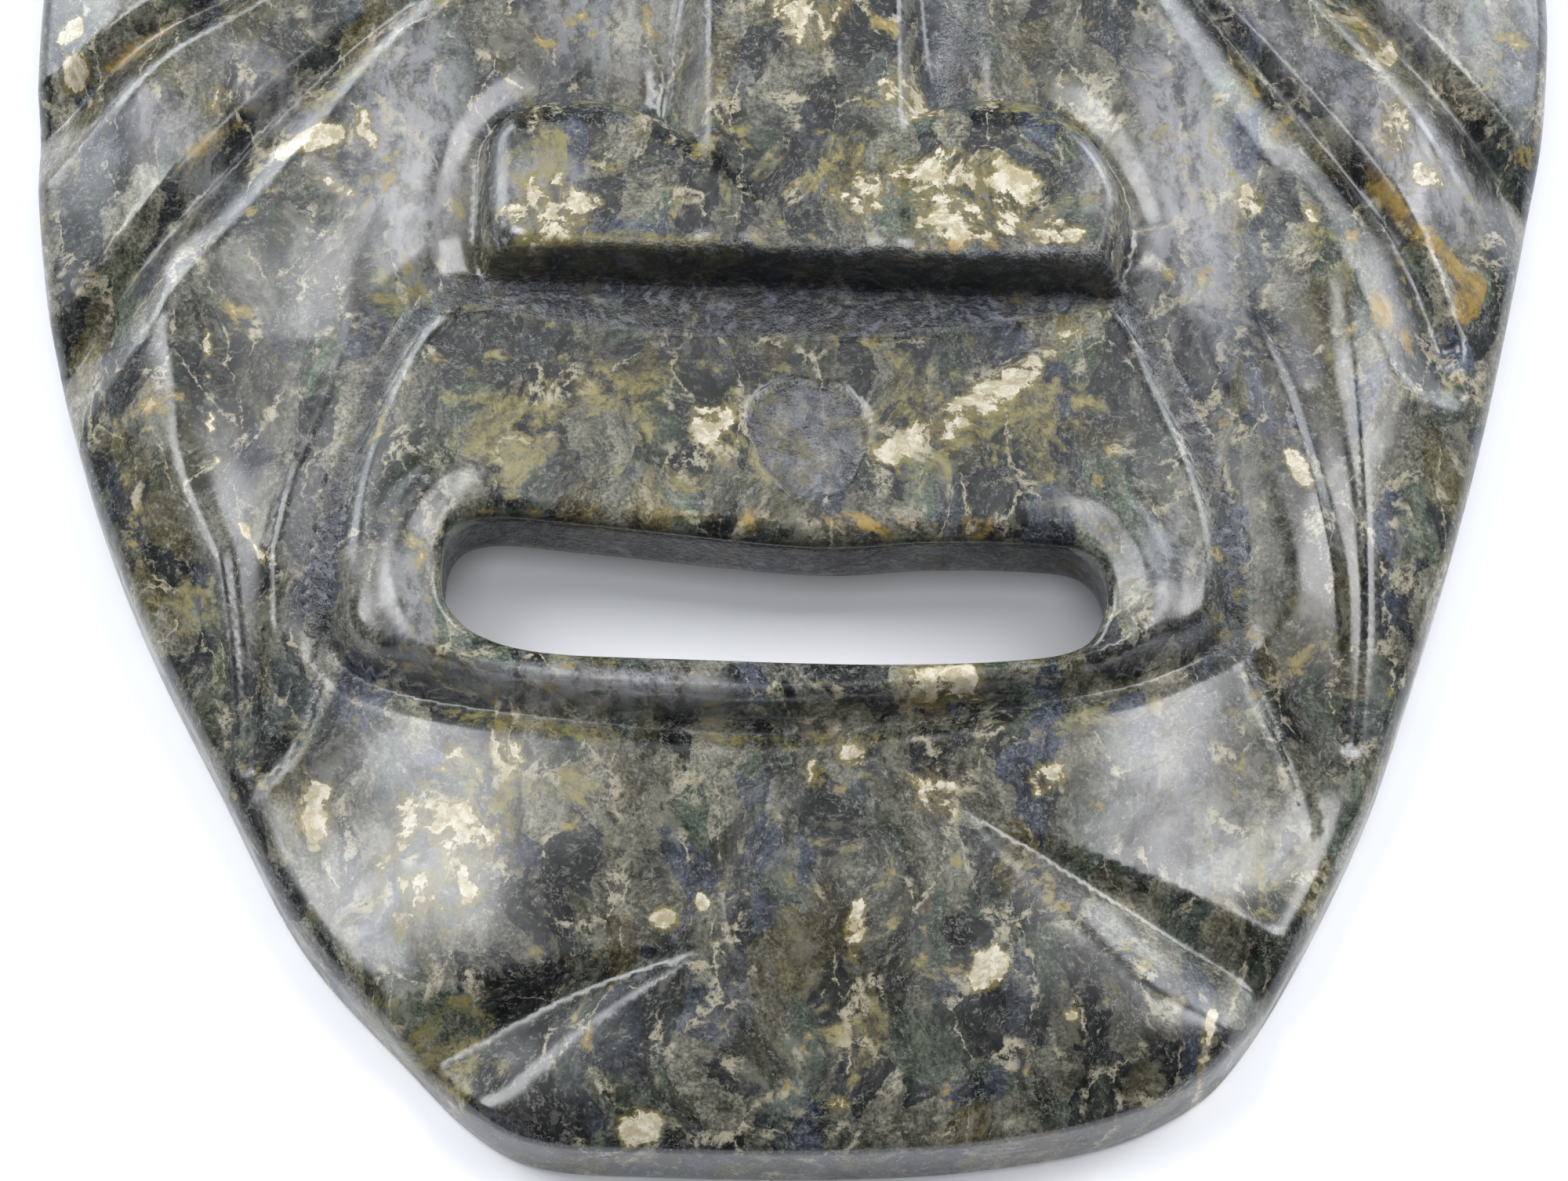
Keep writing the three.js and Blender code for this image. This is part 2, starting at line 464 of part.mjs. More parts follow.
// A region with holes in triangles, with points added where the height strays most from the facets
function facets(outer, holes, height, count) {
  const points = [outer, ...holes].flat();
  const flat = (loop) => loop.map((point) => new THREE.Vector2(point.x, point.y));
  const triangles = new Set();
  const beside = new Map();
  const edge = (a, b) => a * MOST_POINTS + b;

  function cross(a, b, c) {
    return (b.x - a.x) * (c.y - a.y) - (b.y - a.y) * (c.x - a.x);
  }

  function add(a, b, c) {
    const triangle = { corners: [a, b, c], worst: undefined };
    triangles.add(triangle);
    beside.set(edge(a, b), triangle);
    beside.set(edge(b, c), triangle);
    beside.set(edge(c, a), triangle);
    return triangle;
  }

  function remove(triangle) {
    const [a, b, c] = triangle.corners;
    triangles.delete(triangle);
    beside.delete(edge(a, b));
    beside.delete(edge(b, c));
    beside.delete(edge(c, a));
  }

  // Largest distance of the true height from a facet, at points spread over it
  function measure(triangle) {
    const [a, b, c] = triangle.corners.map((corner) => points[corner]);
    const sides = [b.distanceTo(c), c.distanceTo(a), a.distanceTo(b)];
    const area = cross(a, b, c);
    const flatSides = [
      Math.hypot(c.x - b.x, c.y - b.y), Math.hypot(a.x - c.x, a.y - c.y), Math.hypot(b.x - a.x, b.y - a.y),
    ];
    const heights = flatSides.map((side) => area / side);
    const normal = new THREE.Vector3().crossVectors(b.clone().sub(a), c.clone().sub(a)).normalize();
    const cells = clamp(Math.ceil(Math.max(...sides) / SAMPLE_STEP) + 3, 4, 16);
    triangle.worst = 0;
    for (let i = 1; i < cells - 1; i += 1) {
      for (let j = 1; j < cells - i; j += 1) {
        const [u, v] = [i / cells, j / cells];
        const w = 1 - u - v;
        const margin = Math.min(u * heights[0], v * heights[1], w * heights[2]);
        if (margin > SMALLEST_HEIGHT) {
          const x = a.x * u + b.x * v + c.x * w;
          const y = a.y * u + b.y * v + c.y * w;
          const z = height(x, y);
          const error = Math.abs(z - a.z * u - b.z * v - c.z * w) * normal.z;
          if (error > triangle.worst) {
            triangle.worst = error;
            triangle.at = new THREE.Vector3(x, y, z);
          }
        }
      }
    }
    return triangle.worst;
  }

  function inCircle(a, b, c, d) {
    const [ax, ay, bx, by, cx, cy] = [a.x - d.x, a.y - d.y, b.x - d.x, b.y - d.y, c.x - d.x, c.y - d.y];
    const [aa, bb, cc] = [ax * ax + ay * ay, bx * bx + by * by, cx * cx + cy * cy];
    return ax * (by * cc - bb * cy) - ay * (bx * cc - bb * cx) + aa * (bx * cy - by * cx) > ROUND_OFF;
  }

  function swap(one, two, a, b) {
    const c = one.corners.find((corner) => corner !== a && corner !== b);
    const d = two.corners.find((corner) => corner !== a && corner !== b);
    remove(one);
    remove(two);
    return [add(a, d, c), add(d, b, c), c, d];
  }

  function settle(edges) {
    while (edges.length) {
      const [a, b] = edges.pop();
      const one = beside.get(edge(a, b));
      const two = beside.get(edge(b, a));
      if (one && two) {
        const c = one.corners.find((corner) => corner !== a && corner !== b);
        const d = two.corners.find((corner) => corner !== a && corner !== b);
        if (inCircle(points[a], points[b], points[c], points[d])) {
          swap(one, two, a, b);
          edges.push([a, d], [d, b], [b, c], [c, a]);
        }
      }
    }
  }

  for (const [a, b, c] of THREE.ShapeUtils.triangulateShape(flat(outer), holes.map(flat))) {
    if (cross(points[a], points[b], points[c]) > 0) add(a, b, c);
    else add(a, c, b);
  }
  settle([...beside.keys()].map((pair) => [Math.floor(pair / MOST_POINTS), pair % MOST_POINTS]));

  while (triangles.size < count) {
    let chosen;
    for (const triangle of triangles) {
      const worst = triangle.worst ?? measure(triangle);
      if (!chosen || worst > chosen.worst) chosen = triangle;
    }
    if (!chosen.worst) break;
    const [a, b, c] = chosen.corners;
    const added = points.push(chosen.at) - 1;
    remove(chosen);
    add(a, b, added);
    add(b, c, added);
    add(c, a, added);
    settle([[a, b], [b, c], [c, a]]);
  }

  // Turn the shared side of two facets where that follows a carved edge better
  function better(one, two, a, b) {
    const c = one.corners.find((corner) => corner !== a && corner !== b);
    const d = two.corners.find((corner) => corner !== a && corner !== b);
    const [pa, pb, pc, pd] = [a, b, c, d].map((corner) => points[corner]);
    const length = Math.hypot(pc.x - pd.x, pc.y - pd.y);
    const low = SMALLEST_HEIGHT * length;
    if (cross(pa, pd, pc) < low || cross(pd, pb, pc) < low) return false;
    const before = Math.max(one.worst ?? measure(one), two.worst ?? measure(two));
    const trial = [{ corners: [a, d, c] }, { corners: [d, b, c] }];
    return Math.max(measure(trial[0]), measure(trial[1])) < before * SWAP_GAIN;
  }

  for (let round = 0; round < SWAP_ROUNDS; round += 1) {
    for (const pair of [...beside.keys()]) {
      const [a, b] = [Math.floor(pair / MOST_POINTS), pair % MOST_POINTS];
      const one = beside.get(edge(a, b));
      const two = beside.get(edge(b, a));
      if (a < b && one && two && better(one, two, a, b)) swap(one, two, a, b);
    }
  }
  return [...triangles].map(({ corners }) => corners.map((corner) => points[corner]));
}

// Walls between two loops of as many points, facing to the right of travel when going down
function band(upper, lower) {
  const faces = [];
  for (let i = 0; i < upper.length; i += 1) {
    const j = (i + 1) % upper.length;
    faces.push([upper[i], lower[i], lower[j]], [upper[i], lower[j], upper[j]]);
  }
  return faces;
}

function bands(loops) {
  return loops.slice(1).flatMap((loop, i) => band(loops[i], loop));
}

// Hollow back
const hollow = outline.map((point) => new THREE.Vector3(point.x * HOLLOW_SCALE, point.y * HOLLOW_SCALE, 0));

function ceiling(x, y) {
  const rise = clamp(depthInside(x, y, hollow) / HOLLOW_RISE, 0, 1);
  return HOLLOW_DEPTH * Math.sin(0.5 * Math.PI * rise);
}

const rimEdge = roundedEdge(outline, rimRadius, 3);
const foot = [
  raised(outline, () => FOOT_ROUND),
  raised(shifted(outline, () => FOOT_ROUND * 0.3), () => FOOT_ROUND * 0.3),
  raised(shifted(outline, () => FOOT_ROUND), () => 0),
];
const holeEdges = [mouth, ...eyes].map((loop) => roundedEdge(loop, () => HOLE_ROUND, 2));
const holeBacks = [mouth, ...eyes].map((loop) => raised(loop, ceiling));

const front = facets(rimEdge[0], holeEdges.map((loops) => loops[0]), face, FRONT_TRIANGLES);
const back = facets(hollow, holeBacks, ceiling, HOLLOW_TRIANGLES).map(([a, b, c]) => [a, c, b]);
const faces = [
  ...front,
  ...bands([...rimEdge, ...foot, hollow]),
  ...holeEdges.flatMap((loops, i) => bands([...loops, holeBacks[i]])),
  ...back,
];

const geometry = new THREE.BufferGeometry().setFromPoints(faces.flat());
geometry.computeVertexNormals();
const stone = new THREE.MeshStandardMaterial({ color: 0x46513f, roughness: 0.28, metalness: 0 });
const mask = new THREE.Mesh(geometry, stone);
mask.name = 'mask';

const part = new THREE.Group();
part.name = 'stone_mask';
part.add(mask);

export default part;
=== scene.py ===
import math

import bpy
import numpy as np
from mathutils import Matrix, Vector
from mathutils.geometry import delaunay_2d_cdt


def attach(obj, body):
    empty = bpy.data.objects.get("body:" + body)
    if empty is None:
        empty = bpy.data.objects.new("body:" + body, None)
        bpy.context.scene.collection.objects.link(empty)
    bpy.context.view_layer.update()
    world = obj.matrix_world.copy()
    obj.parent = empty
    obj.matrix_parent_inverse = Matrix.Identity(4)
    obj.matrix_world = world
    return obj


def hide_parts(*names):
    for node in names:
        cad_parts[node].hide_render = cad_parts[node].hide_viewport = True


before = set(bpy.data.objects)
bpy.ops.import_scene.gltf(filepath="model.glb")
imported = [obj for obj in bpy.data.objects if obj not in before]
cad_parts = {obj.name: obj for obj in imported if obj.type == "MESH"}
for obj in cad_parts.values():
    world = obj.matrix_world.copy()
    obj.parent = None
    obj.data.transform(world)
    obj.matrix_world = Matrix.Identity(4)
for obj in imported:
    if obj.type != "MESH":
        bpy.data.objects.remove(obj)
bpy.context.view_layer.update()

# The stone mask lies on its back. Shapes are worked out in millimetres in the frame of the carved solid,
# +X to the right of the face, +Y to the forehead, +Z out of the face, and written to the mesh in metres.
MM = 0.001

# Shape of the stone, by the same named sizes as the solid

OUTLINE = [
    (3.0, -74.6), (-10.0, -74.4), (-18.5, -73.7), (-23.6, -71.1), (-28.9, -65.8), (-37.2, -56.3),
    (-44.0, -43.4), (-50.6, -30.2), (-55.7, -16.7), (-59.0, -2.9), (-60.6, 15.0), (-59.6, 33.0),
    (-54.0, 49.5), (-42.5, 63.5), (-24.0, 72.0), (0.5, 74.3), (25.0, 71.9), (43.5, 63.2), (56.0, 48.5),
    (61.8, 30.0), (61.7, 14.0), (58.3, -2.9), (54.0, -20.1), (48.6, -36.9), (45.0, -46.7), (39.4, -58.0),
    (34.4, -65.8), (30.4, -69.4), (24.0, -72.2), (14.0, -74.0)]
MOUTH = [
    (-26.4, -30.0), (-25.7, -26.6), (-22.6, -25.2), (-15.0, -25.9), (2.0, -27.7), (11.0, -27.3),
    (18.5, -27.4), (22.9, -28.1), (24.7, -30.6), (24.5, -33.6), (21.6, -36.6), (10.0, -37.5),
    (-8.0, -37.1), (-18.0, -36.6), (-23.2, -35.2), (-25.8, -32.8)]
MOUTH_MIDDLE = -0.8
# middle of each pierced eye, tilt in degrees
EYES = [(-26.0, 33.0, 5.0), (29.0, 33.0, -5.0)]
EYE_HALF_LENGTH = 13.0
EYE_HALF_HEIGHT = 3.9
EYE_POWERS = (0.8, 0.9)
PLATE = [
    (-24.5, -6.3), (-29.5, -10.0), (-33.3, -19.0), (-35.2, -28.0), (-35.3, -33.5), (-32.6, -37.2),
    (-24.0, -39.8), (-9.0, -41.8), (3.0, -41.9), (21.0, -39.5), (30.0, -36.9), (34.6, -32.6),
    (33.2, -22.5), (29.6, -13.6), (26.0, -6.9), (15.0, -6.3), (2.0, -5.8), (-12.0, -5.4)]
PLATE_TOP = 15.3
PLATE_SWELL_Y = -17.0
PLATE_SWELL_HALF_WIDTH = 7.0
PLATE_SWELL_HEIGHT = 0.2
PLATE_ENDS = (25.0, 37.0)
PLATE_END_FALL = 0.8
# slope of the plate's edge: steeper at the lower lip, nearly level where it runs out under the nose
EDGE_SLOPE = 1.25
EDGE_SLOPE_AT_LIP = 1.05
EDGE_SLOPE_UNDER_NOSE = 0.95
EDGE_EASE = (1.0, 0.7)
UNDER_NOSE_START = -14.0
UNDER_NOSE_RUN = 4.0
UNDER_NOSE_HALF_WIDTH = 28.0
# moat round the plate, narrower along the lip
PLATE_MOAT = 1.0
PLATE_MOAT_WIDTH = (4.6, 1.8)
PLATE_MOAT_EASE = 0.12
PLATE_REACH = 8.0
# the lower lip and the mouth corners are rolled up round the slot
LIP_START = 31.0
LIP_RUN = 7.0
LIP_DROP = 0.3
CORNER_START = 21.0
CORNER_RUN = 6.0
CORNER_SHARE = 0.9
ROLL_HEIGHT = 0.99
ROLL_AWAY = 3.6
ROLL_WIDTH = 2.0

# the rim is rounded tightly along the chin, up to one y, and widely from another
RIM_HEIGHT = 8.2
RIM_ROUND = 2.5
CHIN_ROUND = 1.2
CHIN_ROUND_TO = -73.0
RIM_ROUND_FROM = -62.0
FOOT_ROUND = 1.0
HOLE_ROUND = 1.5
BEVEL_SLOPE = 0.62
BEVEL_EASE = 2.0

# height of the plain face down its middle, every 20 mm from the chin up
FIELD_START = -80.0
FIELD_STEP = 20.0
FIELD = np.array([7.7, 10.9, 13.0, 14.8, 15.2, 15.4, 16.2, 15.2, 10.5])
FACE_MIDDLE = 1.0
CROWN_DROP = 1.2
CROWN_HALF_WIDTH = 45.0
# the chin stays level in the middle and falls to the sides, down to its least height
JOWL_FALL = 4.8
JOWL_HALF_WIDTH = 34.0
JOWL_START = 27.0
JOWL_END = 54.0
JOWL_LEAST = 7.5
JOWL_EASE = 1.0

# soft swellings: middle, half widths, height, turn in degrees
SWELLINGS = [
    ((-25.0, -54.0), (9.0, 10.0), 0.8, 0.0), ((27.0, -45.0), (8.0, 8.0), 0.7, 0.0),
    ((33.0, -66.0), (13.0, 9.0), 2.4, 0.0),
    ((-26.5, 8.0), (5.0, 15.0), 1.3, 0.0), ((28.5, 6.0), (5.0, 16.0), 1.2, 0.0)]
SOCKET_SIZE = (16.5, 7.0)
SOCKET_DEPTH = 3.0
SOCKET_ABOVE = 0.5

NOSE_MIDDLE = 1.6
NOSE_BOTTOM = -5.0
NOSE_TIP = 20.0
NOSE_TILT = 0.036
NOSE_EDGE_ROUND = 1.2
NOSE_FALL = 0.08
BRIDGE_HALF_WIDTH = 7.5
BRIDGE_SIDE_SLOPE = 1.35
BRIDGE_EDGE_EASE = 0.6
BRIDGE_END = 24.0
WING_TOP = 10.1
WING_TOP_BOW = 0.042
WING_TAPER = 0.2
WING_TAPER_TOP = -1.0
WING_BOTTOM = -8.0
WING_LOWER_CORNER = 1.5
WING_EASE = 1.6
# left, right, corner rounding, where the top is highest, run of the rounded shoulder at the side
WINGS = [(-24.1, 0.0, 3.2, -16.4, 3.7), (5.0, 27.1, 6.5, 16.6, 2.7)]
SHOULDER_TOP_RUN = 4.2
# drop of the rounded shoulder, at the sides and at the top
SHOULDER_DROP = (4.6, 3.6)
WING_SIDE_SLOPE = 6.0
UNDERSIDE_SLOPE = 12.0
UNDERSIDE_FOOT = 14.0
UNDERSIDE_LEAD = 0.55
UNDERSIDE_ROUND = 1.8
NOSE_MOAT = 0.6
NOSE_MOAT_AWAY = 1.2
NOSE_MOAT_WIDTH = 1.9
NOSE_MOAT_START = -6.0
NOSE_MOAT_RUN = 2.0
NOSE_FOOT_EASE = 0.4
NOSE_REACH = -7.4

BROW_MIDDLE = 46.5
BROW_BOW = 0.003
BROW_HEIGHT = 19.2
BROW_FALL = 0.0022
BROW_HALF_WIDTH = 3.4
BROW_SIDE_SLOPE = 1.1
BROW_HALF_LENGTH = 40.0
BROW_FADE = 26.0
BROW_EDGE_RISE = 0.8
BROW_EASE = 1.2
# how far the bridge and the brow sink where they run out
FADE_DROP = 30.0
# no wave of the polishing rises above the nose tip
HIGHEST = 20.3

# how wide the arris and the valley of a cut are eased, and the power of its profile
CUT_SHAPE = (0.12, 0.06, 1.0)
# V cuts: path, then at equal steps along it the depth and the width of the left and of the right wall
CUTS = [
    ([(-30, 19.6), (-36.5, 14.6), (-47.4, 2.4), (-59.5, -12.6)],
     (0.9, 2.3, 2.6, 3.0), (1.8, 4.2, 4.6, 4.6), (1.0, 2.2, 2.5, 2.6)),
    ([(-34, 27.5), (-44, 21.8), (-52, 17.6), (-63, 9.4)],
     (0.9, 2.0, 2.5, 3.2), (1.2, 2.8, 3.6, 4.6), (0.8, 1.6, 2.2, 2.6)),
    ([(28.5, 26), (38.6, 13.6), (48.0, 0.6), (52.0, -9.0)],
     (0.9, 2.0, 2.3, 2.2), (0.9, 1.4, 1.7, 1.6), (2.0, 4.6, 6.0, 5.0)),
    ([(36, 27.5), (44.4, 21.2), (55.3, 9.8), (63.5, -0.5)],
     (0.8, 1.8, 2.6, 3.4), (0.9, 1.8, 2.7, 3.2), (1.2, 2.8, 4.0, 5.0)),
    ([(-7.2, -59.7), (-14.5, -61.6), (-21.5, -64.4), (-30.0, -68.4)],
     (0.3, 1.5, 2.4, 2.8), (0.4, 3.0, 5.2, 5.4), (0.4, 1.8, 3.0, 4.4)),
    ([(14.2, -48.7), (22.5, -53.2), (30.5, -57.8), (38.8, -63.2)],
     (0.1, 1.3, 2.9, 3.0), (0.3, 1.1, 3.3, 4.4), (0.4, 3.6, 5.3, 4.4)),
    ([(-35.3, -33.5), (-36.4, -38.5), (-38.0, -42.3), (-41.2, -45.8)],
     (0.5, 0.7, 0.6, 0.3), (0.9, 1.2, 1.0, 0.5), (0.9, 1.2, 1.0, 0.5)),
    ([(34.6, -32.5), (36.6, -37.5), (39.0, -43.0), (40.6, -49.0)],
     (0.5, 0.7, 0.5, 0.2), (0.8, 1.1, 1.0, 0.5), (0.9, 1.3, 1.2, 0.6))]
TROUGH_SHAPE = (0.08, 0.10, 3.0)
TROUGHS = [
    ([(-41.2, 0), (-41.3, -10), (-42.2, -19), (-41.6, -27), (-41.0, -36), (-41.2, -46)],
     (0.3, 1.1, 1.1, 0.8, 0.6, 0.3), (7.5, 7.0, 5.0, 1.9, 1.3, 0.4), (7.7, 7.4, 5.3, 2.0, 1.3, 0.4)),
    ([(38.5, 0), (41.8, -14), (43.9, -29), (43.6, -42)],
     (0.2, 0.9, 0.6, 0.3), (5.0, 2.9, 1.4, 0.8), (5.0, 2.7, 1.3, 0.8))]
BRIDGE_GROOVES = [
    ([(-9.8, 28), (-9.2, 9)], (0.4, 1.3), (2, 3.4), (1, 1.6)),
    ([(15.6, 28), (14.4, 9)], (0.4, 1.4), (1, 1.6), (2, 3.4))]
PATH_STEPS = 16
# a cut is worked out within this many of its widest wall
CUT_REACH = 1.2

HOLLOW_SCALE = 0.86
HOLLOW_DEPTH = 8.4
HOLLOW_RISE = 13.0

# chipped spot on the upper lip: middle, half widths, depth, width of its edge, share of bare stone
SCAR_AT = (1.9, -18.9)
SCAR_SIZE = (4.5, 5.5)
SCAR_DEPTH = 0.5
SCAR_EDGE = 0.45
SCAR_SHARE = 0.72
SCAR_POINTS = 90
# bulges round its edge: height, how many, turn
SCAR_BULGES = [(0.07, 2, 2.2), (0.06, 3, 0.0), (0.03, 7, 1.0)]
# floor of the chip: shares of its depth, lengths and seeds of the waves in it
SCAR_WAVES = [(0.5, 1.7, 6), (0.3, 0.9, 5)]
# hand polishing and unpolished stone: heights, lengths and seeds of their waves
POLISH_WAVES = [(0.09, 11, 1), (0.035, 4.5, 2)]
ROUGH_WAVES = [(0.05, 0.9, 3)]
# the waves repeat after so many squares, and start so many squares before the middle of the face
WAVE_SQUARES = 256
WAVE_START = 100
# scratched line in the moat: half width, how far it lies outside the plate, how it fades, where it ends
MOAT_SCRATCHED = 1.2
MOAT_SCRATCHED_AWAY = 0.3
MOAT_SCRATCHED_EASE = 0.5
MOAT_SCRATCHED_END = -33.0
MOAT_SCRATCHED_FADE = 4.0
# scratched strip under the nose: lower edge and its bow, gap to the nose, how it fades, half length
STRIP_BOTTOM = -10.5
STRIP_BOW = 0.005
STRIP_EASE = (-0.2, 0.5)
STRIP_GAP = 0.5
STRIP_HALF_LENGTH = 27.0
STRIP_FADE = 3.0
# share of bare stone in the moat, the groove beside the bridge and the crease cuts
MOAT_SHARE = 0.85
GROOVE_SHARE = 0.7
CREASE_SHARE = 0.4
# the walls of the mouth slot, below their rounded edge, get a share of the dark blue grey colour, the
# roughness and the scratches of unpolished stone; the colour there is painted shade
SLOT_WALL = 0.3
SLOT_WALL_TOP = 13.2
SLOT_WALL_BARE_AND_SHADE_SHARE = 0.75
# bare stone is looked for on the front alone, above this height
FRONT_ABOVE = 9.5

# coloured patches, the pale ones partly painted sheen and the dark ones partly painted shade: middle, half
# widths, turn in degrees, strength
PATCH_REACH = 1.35
PATCH_EASE = 0.9
CREAM = [
    (12.5, -0.5, 9.5, 4.8, -10, 0.70), (21.0, -3.6, 3.4, 1.8, 0, 0.8), (-18.2, -1.3, 4.6, 3.8, 0, 0.62),
    (14.6, -16.2, 12.0, 1.7, 34, 0.72), (-5.8, -17.8, 2.4, 2.6, 0, 0.65), (22.4, -10.0, 1.8, 2.4, 0, 0.75),
    (-38.3, 7.3, 4.0, 1.4, 14, 1.0), (-36.4, 3.4, 2.4, 1.1, -20, 0.85), (-33.2, 8.4, 1.2, 2.6, 20, 0.7),
    (-45.0, 11.0, 2.4, 1.6, -40, 0.6), (-26.1, -52.3, 6.5, 7.5, 0, 0.55), (-22.7, -44.7, 5.0, 2.6, 0, 0.5),
    (-35.4, -47.6, 1.4, 2.8, 10, 0.65), (-9.2, -57.2, 1.3, 1.4, 0, 1.0), (5.3, -58.1, 1.0, 3.0, -8, 0.85),
    (-6.2, -55.8, 0.8, 0.8, 0, 0.8), (15.6, -61.0, 1.5, 2.1, -30, 0.9), (-10.9, -72.4, 2.0, 1.6, 0, 0.9),
    (21.7, -64.6, 0.8, 0.8, 0, 0.9), (31.9, -66.2, 0.6, 3.6, -12, 0.9), (4.0, -71.5, 1.4, 1.0, 0, 0.7),
    (49.9, 6.8, 2.6, 4.6, 25, 0.55), (36.9, 2.1, 1.5, 1.5, 0, 0.8), (41.8, 1.1, 1.7, 1.1, -10, 0.7),
    (12.0, -39.3, 3.6, 1.8, 0, 0.68), (20.0, -46.3, 2.1, 1.5, 30, 0.8), (11.3, -46.9, 3.0, 2.8, 0, 0.68),
    (5.0, -44.3, 1.4, 1.2, 0, 0.8), (2.4, -45.9, 0.9, 1.8, 0, 0.8), (-57.3, 16.0, 1.3, 1.7, 0, 0.9),
    (-57.7, 19.6, 1.3, 1.5, 0, 0.85), (40.0, -20.8, 1.0, 2.2, 20, 0.8), (48.0, 16.0, 2.0, 1.6, 0, 0.6),
    (2.0, 17.0, 3.0, 6.0, 20, 0.6), (10.0, 9.0, 4.0, 2.0, -30, 0.6), (-26.0, 30.0, 10.0, 8.0, 0, 0.4),
    (-45.4, -9.6, 0.35, 2.6, 0, 0.7), (-44.9, -15.2, 0.3, 4.0, 5, 0.66), (-44.0, -21.2, 0.3, 2.8, 10, 0.66),
    (-41.5, -26.2, 0.35, 3.6, 38, 0.7), (33.4, -68.8, 0.4, 2.6, -14, 0.8),
    (30.0, 52.0, 8.0, 9.0, 20, 0.45), (-12.0, 60.0, 10.0, 6.0, -20, 0.45), (10.0, 62.0, 2.0, 3.0, 0, 0.8)]
YELLOW = [
    (0.0, -17.0, 27.0, 7.0, 0, 0.34), (-5.0, 2.0, 16.0, 6.0, 0, 0.2),
    (-21.0, -18.8, 4.6, 4.8, 0, 0.5), (-29.9, -5.1, 3.8, 3.2, 0, 0.55), (15.0, -0.5, 9.0, 4.0, 0, 0.4),
    (-20.0, 0.0, 4.0, 4.0, 0, 0.4), (-22.7, -46.7, 6.0, 3.6, 0, 0.45), (-27.5, -64.0, 4.8, 2.8, -30, 0.6),
    (-23.0, -68.7, 3.0, 3.0, 0, 0.5), (-13.0, -4.3, 10.5, 1.0, -2, 0.8), (36.5, -54.0, 2.4, 3.0, 0, 0.5),
    (-14.0, -46.0, 5.0, 2.0, 0, 0.4), (6.0, -63.0, 4.0, 6.0, 0, 0.3), (40.0, 40.0, 9.0, 7.0, 0, 0.4),
    (-46.5, -31.5, 3.0, 3.0, 0, 0.45), (14.0, -17.5, 12.0, 3.0, 34, 0.35), (20.0, 8.0, 6.0, 1.6, -8, 0.4),
    (-20.0, -41.6, 9.0, 1.2, -12, 0.5), (3.0, -43.2, 12.0, 1.2, 0, 0.55), (25.0, -41.0, 8.0, 1.2, 14, 0.5),
    (-18.0, 3.0, 4.5, 3.5, 0, 0.5), (42.5, -1.5, 1.6, 6.0, 36, 0.4), (-36.0, 12.5, 1.2, 6.0, -50, 0.45)]
OCHRE = [
    (54.6, -4.6, 1.3, 2.8, -18, 0.9), (52.4, -1.6, 0.9, 3.6, 40, 0.75), (47.8, -7.6, 1.6, 3.2, 28, 0.55),
    (48.4, 2.4, 0.9, 4.8, 38, 0.6), (17.0, -4.8, 9.0, 0.8, -2, 0.35), (12.0, -40.8, 4.0, 1.0, 0, 0.45),
    (-46.0, 7.2, 6.0, 0.9, 42, 0.45), (-52.0, 17.4, 5.0, 0.9, 30, 0.45), (0.0, -25.8, 24.0, 1.0, -2, 0.35)]
# pale lilac patches: partly paler stone, partly painted sheen on the cheeks by the nose, the jowls, the lower
# lip and the ends of the mouth
PALE_STONE_AND_PAINTED_SHEEN = [
    (-29.5, 6.0, 5.0, 13.0, 0, 0.9), (31.5, 4.0, 4.2, 15.0, 4, 0.95), (-15.0, 19.0, 7.0, 8.0, 0, 0.6),
    (-48.5, 8.0, 2.6, 8.0, 35, 0.55), (50.5, 6.0, 3.4, 8.5, 32, 1.0), (52.0, 20.0, 5.0, 5.0, 0, 0.6),
    (30.0, -47.0, 4.0, 4.0, 0, 0.4), (-29.0, -55.0, 5.0, 5.0, 0, 0.35), (0.0, 44.0, 30.0, 8.0, 0, 0.3),
    (1.9, -18.9, 3.6, 4.8, 0, 0.9), (-15.0, -39.4, 12.0, 1.2, -4, 1.0), (-29.0, -33.0, 2.0, 5.0, 12, 0.7),
    (29.5, -29.5, 2.2, 5.0, -12, 0.6), (-41.0, 12.0, 2.4, 7.0, 40, 0.5), (42.0, 14.0, 2.4, 9.0, 36, 0.5),
    (-19.0, 0.5, 3.6, 4.0, 0, 0.8), (24.5, 2.0, 1.6, 4.6, 0, 0.5)]
